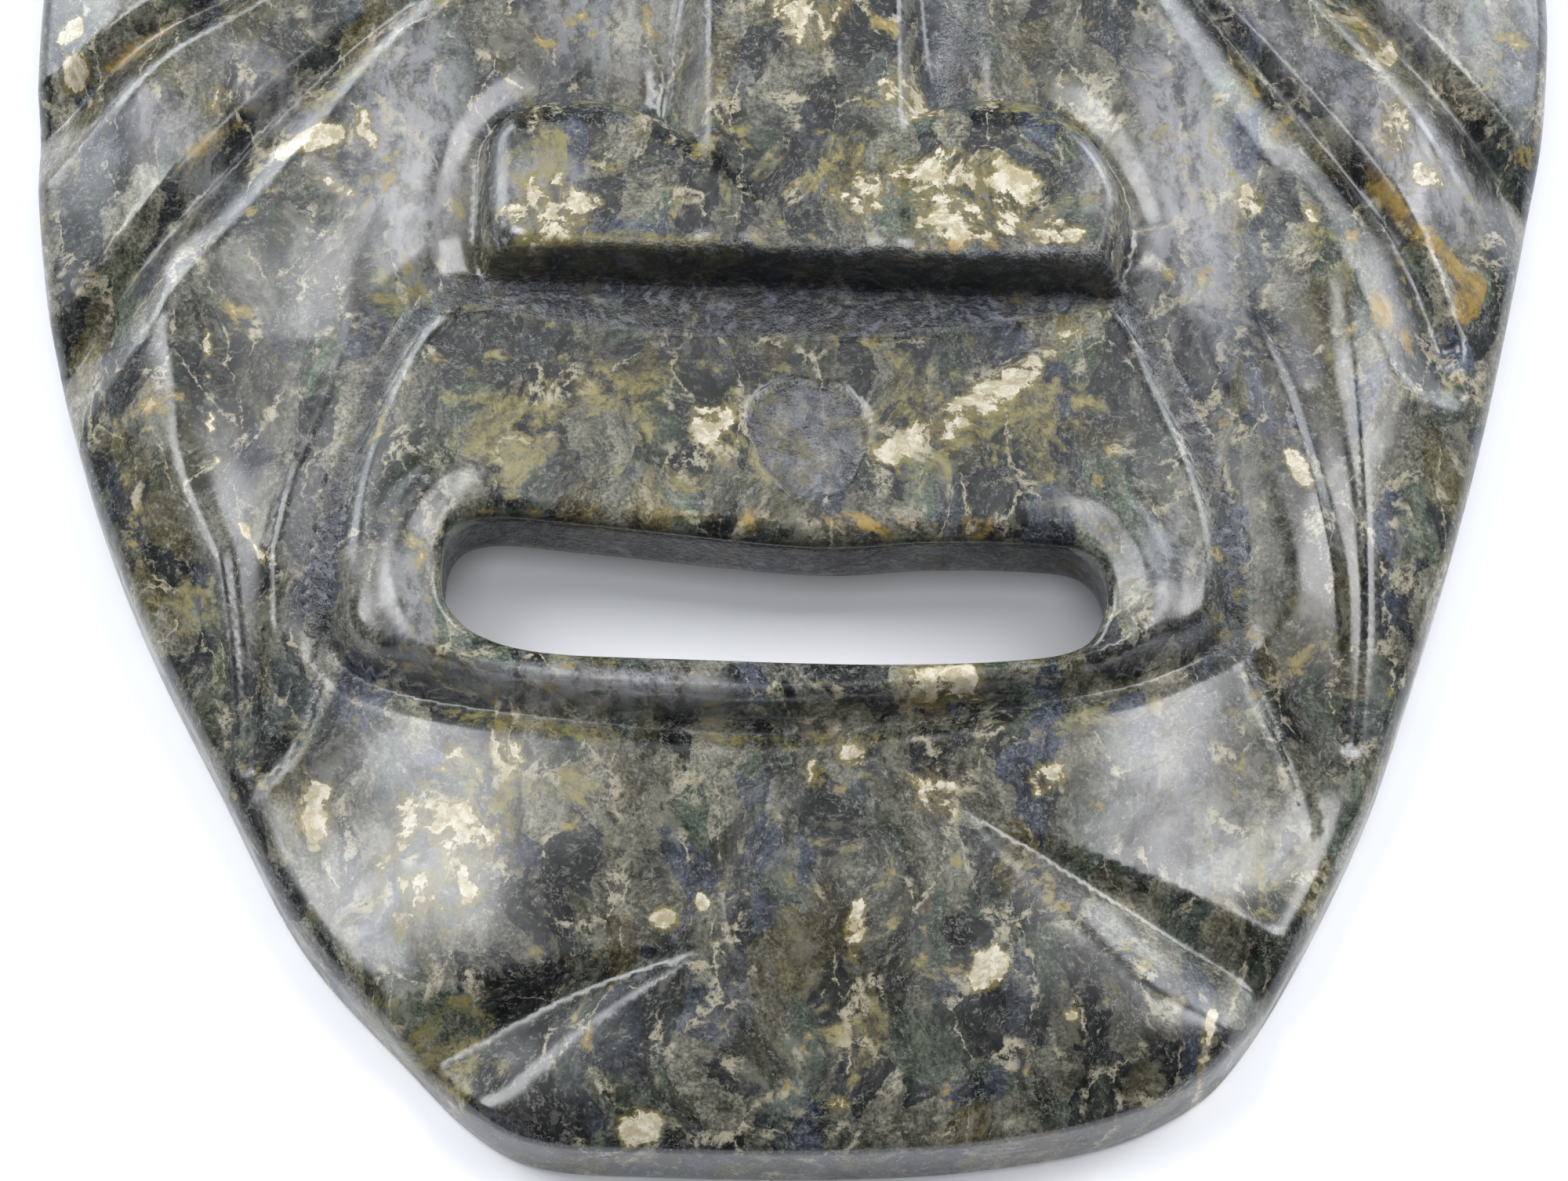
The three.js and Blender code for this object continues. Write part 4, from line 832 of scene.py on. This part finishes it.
# the pale patches are partly painted sheen, the dark ones partly painted shade
for name, table in (("cream", CREAM), ("yellow", YELLOW), ("ochre", OCHRE), ("pale", PALE_STONE_AND_PAINTED_SHEEN), ("dark_and_painted_shade", DARK_STONE_AND_PAINTED_SHADE)):
    shares[name] = patches(points[:, 0], points[:, 1], table)
for name, share in shares.items():
    stone.data.attributes.new(name, "FLOAT", "POINT").data.foreach_set("value", share)
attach(stone, "root")
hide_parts("mask")
print("triangles", sum(len(group) * (group.shape[1] - 2) for group in faces))


# Polished green stone, colours in linear light
OLIVE_STONE = (0.076, 0.067, 0.033)
BLUE_STONE = (0.038, 0.046, 0.062)
GREEN_STONE = (0.050, 0.063, 0.046)
BLACK_STONE = (0.018, 0.020, 0.020)
GREY_STONE = (0.110, 0.106, 0.082)
PALE_GRAIN = (0.25, 0.25, 0.215)
DARK_GRAIN = (0.014, 0.015, 0.014)
CLOUD = (0.24, 0.235, 0.185)
# lilac mist of the pale patches, partly painted sheen
MIST_AND_PAINTED_SHEEN = (0.285, 0.285, 0.300)
OLIVE_RIM = (0.185, 0.150, 0.050)
YELLOW_STAIN = (0.260, 0.225, 0.075)
DULL_CREAM = (0.40, 0.34, 0.21)
BRIGHT_CREAM = (0.66, 0.62, 0.50)
RUST = (0.36, 0.235, 0.05)
VEIN = (0.42, 0.38, 0.275)
HAIR = (0.36, 0.36, 0.33)
DARK_BARE = (0.014, 0.017, 0.025)
PALE_BARE = (0.19, 0.205, 0.24)
STONE_IOR = 1.66
# how strongly and how high in metres the unpolished stone is scratched
SCRATCH_STRENGTH = 0.9
SCRATCH_HEIGHT = 0.00035
# noises of the stone: length in millimetres, how many finer layers, strength of the finer layers
DRIFT = (8, 1, 0.5)
SHIVER = (1.5, 4, 0.7)
ZONES = (9, 3, 0.6)
MOTTLE = (1.6, 4, 0.75)
GRAIN = (0.7, 4, 0.8)
SPECKS = (0.28, 2, 0.7)
CLOUDS = (3.4, 4, 0.8)
CRUMBS = (1.9, 5, 0.67)
BLOTCH = (4.5, 3, 0.6)
SCRATCHES = (1.0, 4, 0.76)
SPREAD = (4.5, 2, 0.6)
VEIN_WIDTHS = (2.6, 1, 0.74)
GRIT = (0.5, 2, 0.7)
# how far in millimetres the drift and the shiver move the pattern
DRIFT_REACH = 5.0
SHIVER_REACH = 1.3
# lengths in millimetres of the cells of colour and of the pieces between the cracks
TONE_CELL = 2.7
CRACK_CELL = 4.4
GREY = (0.5, 0.5, 0.5)


class Nodes:
    """Short names for the nodes of one material."""

    def __init__(self, name):
        """A new material, its shader, and the place on the stone in millimetres."""
        self.material = bpy.data.materials.new(name)
        self.material.use_nodes = True
        self.tree = self.material.node_tree
        self.shader = self.tree.nodes["Principled BSDF"]
        place = self.tree.nodes.new("ShaderNodeTexCoord").outputs["Object"]
        self.place = self.scaled(place, (1 / MM, 1 / MM, 1 / MM))

    def put(self, socket, value):
        """A link from an output, or a plain value."""
        if hasattr(value, "is_linked") or hasattr(value, "links"):
            self.tree.links.new(value, socket)
        else:
            socket.default_value = value

    def scaled(self, vector, scale, shift=(0, 0, 0)):
        """A place times a scale along each axis, plus a shift."""
        node = self.tree.nodes.new("ShaderNodeMapping")
        self.put(node.inputs["Vector"], vector)
        node.inputs["Scale"].default_value = scale
        node.inputs["Location"].default_value = shift
        return node.outputs["Vector"]

    def noise(self, vector, length, detail, roughness, colour=False):
        """Soft noise from 0 to 1 of a length in millimetres, as a number or as a colour."""
        node = self.tree.nodes.new("ShaderNodeTexNoise")
        self.put(node.inputs["Vector"], vector)
        node.inputs["Scale"].default_value = 1 / length
        node.inputs["Detail"].default_value = detail
        node.inputs["Roughness"].default_value = roughness
        return node.outputs["Color" if colour else "Fac"]

    def cells(self, vector, length, feature, output):
        """Random cells of a length in millimetres: a colour for each, or the distance to their edges."""
        node = self.tree.nodes.new("ShaderNodeTexVoronoi")
        node.feature = feature
        self.put(node.inputs["Vector"], vector)
        node.inputs["Scale"].default_value = 1 / length
        return node.outputs[output]

    def channel(self, colour, index):
        """The red, the green or the blue of a colour."""
        node = self.tree.nodes.new("ShaderNodeSeparateColor")
        self.put(node.inputs[0], colour)
        return node.outputs[index]

    def math(self, kind, a, b=0.0):
        """One step of arithmetic on two numbers."""
        node = self.tree.nodes.new("ShaderNodeMath")
        node.operation = kind
        self.put(node.inputs[0], a)
        self.put(node.inputs[1], b)
        return node.outputs[0]

    def vector(self, kind, a, b):
        """One step on two vectors, or a vector times a number."""
        node = self.tree.nodes.new("ShaderNodeVectorMath")
        node.operation = kind
        self.put(node.inputs[0], a)
        if kind == "SCALE":
            self.put(node.inputs["Scale"], b)
        else:
            self.put(node.inputs[1], b)
        return node.outputs[0]

    def between(self, value, low, high, out_low=0.0, out_high=1.0, smooth=True):
        """out_low at low, out_high at high, an S curve or a straight line between."""
        node = self.tree.nodes.new("ShaderNodeMapRange")
        node.interpolation_type = "SMOOTHSTEP" if smooth else "LINEAR"
        for socket, number in zip(("Value", "From Min", "From Max", "To Min", "To Max"),
                                  (value, low, high, out_low, out_high)):
            self.put(node.inputs[socket], number)
        return node.outputs["Result"]

    def mix(self, share, a, b):
        """Colour a where the share is 0, b where it is 1."""
        node = self.tree.nodes.new("ShaderNodeMix")
        node.data_type = "RGBA"
        self.put(node.inputs[0], share)
        self.put(node.inputs[6], a if hasattr(a, "links") else (*a, 1))
        self.put(node.inputs[7], b if hasattr(b, "links") else (*b, 1))
        return node.outputs[2]

    def attribute(self, name):
        """A share that was written to the points of the mesh."""
        node = self.tree.nodes.new("ShaderNodeAttribute")
        node.attribute_name = name
        return node.outputs["Fac"]

    def bump(self, height, strength, distance):
        """The surface's direction, tilted by the slope of a height from 0 to 1 of a distance in metres."""
        node = self.tree.nodes.new("ShaderNodeBump")
        self.put(node.inputs["Height"], height)
        node.inputs["Strength"].default_value = strength
        node.inputs["Distance"].default_value = distance
        return node.outputs["Normal"]


def polished_serpentine():
    """Dark green stone in upright cells of close colours, with clouds, cream lumps with olive rims, pale
    veins, and blue grey bare stone in the grooves. Placed dark patches darken it, partly as painted
    shade, and pale patches lighten it to a lilac mist, partly as painted sheen. Lengths are in millimetres."""
    n = Nodes("polished_serpentine")
    drift = n.vector("SUBTRACT", n.noise(n.place, *DRIFT, colour=True), GREY)
    shiver = n.vector("SUBTRACT", n.noise(n.place, *SHIVER, colour=True), GREY)
    place = n.vector("ADD", n.place, n.vector("SCALE", drift, DRIFT_REACH))
    torn = n.vector("ADD", place, n.vector("SCALE", shiver, SHIVER_REACH))
    upright = n.scaled(torn, (1, 0.5, 0.7))

    # cells of stone, each of its own colour
    tone = n.cells(upright, TONE_CELL, "F1", "Color")
    colour = n.mix(n.between(n.channel(tone, 0), 0.30, 0.62), OLIVE_STONE, BLUE_STONE)
    colour = n.mix(n.between(n.channel(tone, 1), 0.45, 0.75), colour, GREEN_STONE)
    colour = n.mix(n.between(n.channel(tone, 2), 0.62, 0.82), colour, BLACK_STONE)
    colour = n.mix(n.between(n.channel(tone, 2), 0.36, 0.20), colour, GREY_STONE)
    zones = n.noise(n.scaled(place, (1, 0.55, 1), shift=(7, 3, 1)), *ZONES)
    colour = n.vector("SCALE", colour, n.between(zones, 0.35, 0.65, 0.52, 1.35))

    # mottling and grains of every size
    mottle = n.noise(upright, *MOTTLE)
    colour = n.vector("SCALE", colour, n.between(mottle, 0.37, 0.63, 0.36, 1.85, smooth=False))
    grain = n.noise(torn, *GRAIN)
    colour = n.mix(n.between(grain, 0.53, 0.66, 0.0, 0.6), colour, PALE_GRAIN)
    colour = n.mix(n.between(grain, 0.45, 0.35, 0.0, 0.7), colour, DARK_GRAIN)
    specks = n.noise(n.place, *SPECKS)
    colour = n.vector("SCALE", colour, n.between(specks, 0.38, 0.62, 0.62, 1.5, smooth=False))
    clouds = n.noise(n.scaled(torn, (1, 0.6, 1), shift=(31, 5, 2)), *CLOUDS)
    colour = n.mix(n.between(clouds, 0.54, 0.66, 0.0, 0.45), colour, CLOUD)
    # painted shade: the dark patches darken the stone and the bare stone, partly as darker stone and partly
    # as shade in the cuts, under the nose and on the chin
    darkening_and_painted_shade = n.between(n.attribute("dark_and_painted_shade"), 0.0, 1.0, 1.0, 0.55, smooth=False)
    colour = n.vector("SCALE", colour, darkening_and_painted_shade)
    # painted sheen: the pale patches mix in a lilac mist, partly paler stone and partly standing for
    # reflections on the cheeks, jowls and lip
    misty_and_painted_sheen = n.math("MULTIPLY", n.attribute("pale"), n.between(mottle, 0.38, 0.60, 0.25, 0.95))
    colour = n.mix(misty_and_painted_sheen, colour, MIST_AND_PAINTED_SHEEN)

    # lumps: cream inside, olive yellow round the edge
    crumbs = n.noise(torn, *CRUMBS)
    blotch = n.noise(n.scaled(torn, (1, 0.8, 1), shift=(3, 33, 8)), *BLOTCH)
    field = n.math("ADD", n.math("MULTIPLY", crumbs, 0.5), n.math("MULTIPLY", blotch, 0.5))
    placed = n.math("ADD", n.attribute("cream"), n.math("MULTIPLY", field, 4.0))
    olive = n.math("MULTIPLY", n.between(placed, 2.34, 2.60), n.between(mottle, 0.36, 0.56, 0.35, 0.85))
    colour = n.mix(olive, colour, OLIVE_RIM)
    tinted = n.math("ADD", n.attribute("yellow"), n.math("MULTIPLY", field, 4.0))
    tinted = n.math("MULTIPLY", n.between(tinted, 2.28, 2.62), n.between(grain, 0.40, 0.58, 0.25, 0.8))
    colour = n.mix(tinted, colour, YELLOW_STAIN)
    scratch = n.noise(torn, *SCRATCHES)
    flour = n.between(scratch, 0.40, 0.60)
    cream = n.mix(flour, DULL_CREAM, BRIGHT_CREAM)
    colour = n.mix(n.between(placed, 2.63, 2.73, 0.0, 0.95), colour, cream)
    rusty = n.math("ADD", n.attribute("ochre"), n.math("MULTIPLY", field, 3.0))
    rusty = n.math("MULTIPLY", n.between(rusty, 1.75, 2.2), n.between(grain, 0.38, 0.56, 0.4, 0.85))
    colour = n.mix(rusty, colour, RUST)

    # veins: pale cracks, mostly upright, and a net of finer hairs
    rifts = n.cells(n.scaled(torn, (1, 0.42, 0.8)), CRACK_CELL, "DISTANCE_TO_EDGE", "Distance")
    spread = n.noise(n.place, *SPREAD)
    width = n.between(n.noise(n.vector("ADD", torn, (9, 2, 4)), *VEIN_WIDTHS), 0.46, 0.66, 0.018, 0.15)
    vein = n.math("MULTIPLY", n.between(n.math("DIVIDE", rifts, width), 1.0, 0.35),
                  n.between(spread, 0.44, 0.58))
    broken = n.between(grain, 0.42, 0.56, 0.0, 0.85)
    colour = n.mix(n.math("MULTIPLY", vein, broken), colour, VEIN)
    off = n.math("ABSOLUTE", n.math("SUBTRACT", clouds, 0.48))
    hair = n.math("MULTIPLY", n.between(off, 0.012, 0.0), n.between(spread, 0.56, 0.42, 0.0, 0.4))
    colour = n.mix(hair, colour, HAIR)

    # unpolished stone in the grooves: blue grey, scratched; on the walls of the mouth slot the same colour is
    # painted shade
    rough_cut_and_slot_shade = n.attribute("rough_cut_and_slot_shade")
    bare = n.mix(n.between(scratch, 0.47, 0.66), DARK_BARE, PALE_BARE)
    bare = n.vector("SCALE", bare, darkening_and_painted_shade)
    cover = n.math("MULTIPLY", rough_cut_and_slot_shade, n.between(crumbs, 0.40, 0.60, 0.92, 0.6))
    colour = n.mix(cover, colour, bare)
    n.put(n.shader.inputs["Base Color"], colour)

    gloss = n.between(blotch, 0.3, 0.7, 0.19, 0.31)
    gloss = n.math("ADD", gloss, n.between(field, 0.5, 0.62, 0.0, 0.10))
    gloss = n.math("ADD", gloss, n.math("MULTIPLY", rough_cut_and_slot_shade, 0.30))
    n.put(n.shader.inputs["Roughness"], gloss)
    n.shader.inputs["IOR"].default_value = STONE_IOR

    coarse = n.math("MULTIPLY", rough_cut_and_slot_shade, n.noise(n.place, *GRIT))
    n.put(n.shader.inputs["Normal"], n.bump(coarse, SCRATCH_STRENGTH, SCRATCH_HEIGHT))
    return n.material


stone.data.materials.append(polished_serpentine())


# Floor, light and camera, in metres
FLOOR_HALF_SIDE = 3.0
PAPER_WHITE = (0.86, 0.87, 0.90, 1)
PAPER_ROUGHNESS = 0.7
PAPER_SHINE = 0.2
# soft boxes: name, place, what it faces, width, height, power in watts, colour
SOFT_BOXES = [
    ("left_box", (-0.47, 0.16, 0.75), (0, -0.02, 0), 0.38, 0.60, 5.4, (0.97, 0.98, 1.0)),
    ("right_box", (0.48, 0.12, 0.75), (0, -0.02, 0), 0.36, 0.60, 5.4, (0.98, 0.98, 1.0)),
    ("left_back_box", (-0.75, 0.72, 0.28), (0, 0, 0.02), 0.8, 0.45, 7.2, (0.88, 0.93, 1.0)),
    ("right_back_box", (0.75, 0.72, 0.28), (0, 0, 0.02), 0.8, 0.45, 6.2, (0.90, 0.94, 1.0)),
    ("ceiling_box", (0.0, 0.56, 0.92), (0, 0, 0), 1.0, 0.55, 1.5, (0.93, 0.96, 1.0)),
    ("floor_box", (0.0, -0.42, 1.0), (0, 0, 0), 0.5, 0.4, 4.4, (0.96, 0.98, 1.0))]
AIR_COLOUR = (0.85, 0.90, 1.0, 1)
AIR_STRENGTH = 0.05


def pale_floor():
    """A square of matt white paper under the stone."""
    a = FLOOR_HALF_SIDE
    corners = np.array([(-a, -a, 0), (a, -a, 0), (a, a, 0), (-a, a, 0)]) / MM
    floor = new_object("pale_floor", corners, [np.array([[0, 1, 2, 3]])], smooth=False)
    material = bpy.data.materials.new("matt_white")
    material.use_nodes = True
    shader = material.node_tree.nodes["Principled BSDF"]
    shader.inputs["Base Color"].default_value = PAPER_WHITE
    shader.inputs["Roughness"].default_value = PAPER_ROUGHNESS
    shader.inputs["Specular IOR Level"].default_value = PAPER_SHINE
    floor.data.materials.append(material)


def soft_box(name, place, target, width, height, power, colour):
    """A rectangular light that faces its target."""
    light = bpy.data.lights.new(name, "AREA")
    light.shape = "RECTANGLE"
    light.size = width
    light.size_y = height
    light.energy = power
    light.color = colour
    lamp = bpy.data.objects.new(name, light)
    bpy.context.collection.objects.link(lamp)
    lamp.location = place
    lamp.rotation_euler = (Vector(target) - Vector(place)).to_track_quat("-Z", "Y").to_euler()
    return lamp


def studio():
    """The soft boxes in faint bluish air. The last one lights the floor alone, to a plain white."""
    lamps = [soft_box(*box) for box in SOFT_BOXES]
    paper = bpy.data.collections.new("paper")
    paper.objects.link(bpy.data.objects["pale_floor"])
    lamps[-1].light_linking.receiver_collection = paper
    world = bpy.data.worlds.new("studio_air")
    bpy.context.scene.world = world
    world.use_nodes = True
    background = world.node_tree.nodes["Background"]
    background.inputs["Color"].default_value = AIR_COLOUR
    background.inputs["Strength"].default_value = AIR_STRENGTH


# the camera's target and distance, its height over the table in degrees, the photo's scale and width
CAMERA_TARGET = (0.0, -0.0305, 0.012)
CAMERA_DISTANCE = 0.45
CAMERA_ELEVATION = 67.0
PIXELS_PER_MM = 16.5
IMAGE_WIDTH = 2000
SENSOR_WIDTH = 36
NEAR_LIMIT = 0.01


def camera():
    """Looks along +Y and down; the lens makes one millimetre at the target as many pixels as in the photo."""
    rise = math.radians(CAMERA_ELEVATION)
    target = Vector(CAMERA_TARGET)
    made = bpy.data.cameras.new("photo_view")
    made.sensor_width = SENSOR_WIDTH
    made.lens = SENSOR_WIDTH * PIXELS_PER_MM * CAMERA_DISTANCE / MM / IMAGE_WIDTH
    made.clip_start = NEAR_LIMIT
    view = bpy.data.objects.new("photo_view", made)
    bpy.context.collection.objects.link(view)
    view.location = target + CAMERA_DISTANCE * Vector((0, -math.cos(rise), math.sin(rise)))
    view.rotation_euler = (target - view.location).to_track_quat("-Z", "Y").to_euler()
    bpy.context.scene.camera = view


pale_floor()
studio()
camera()
bpy.context.scene.view_settings.view_transform = "Standard"
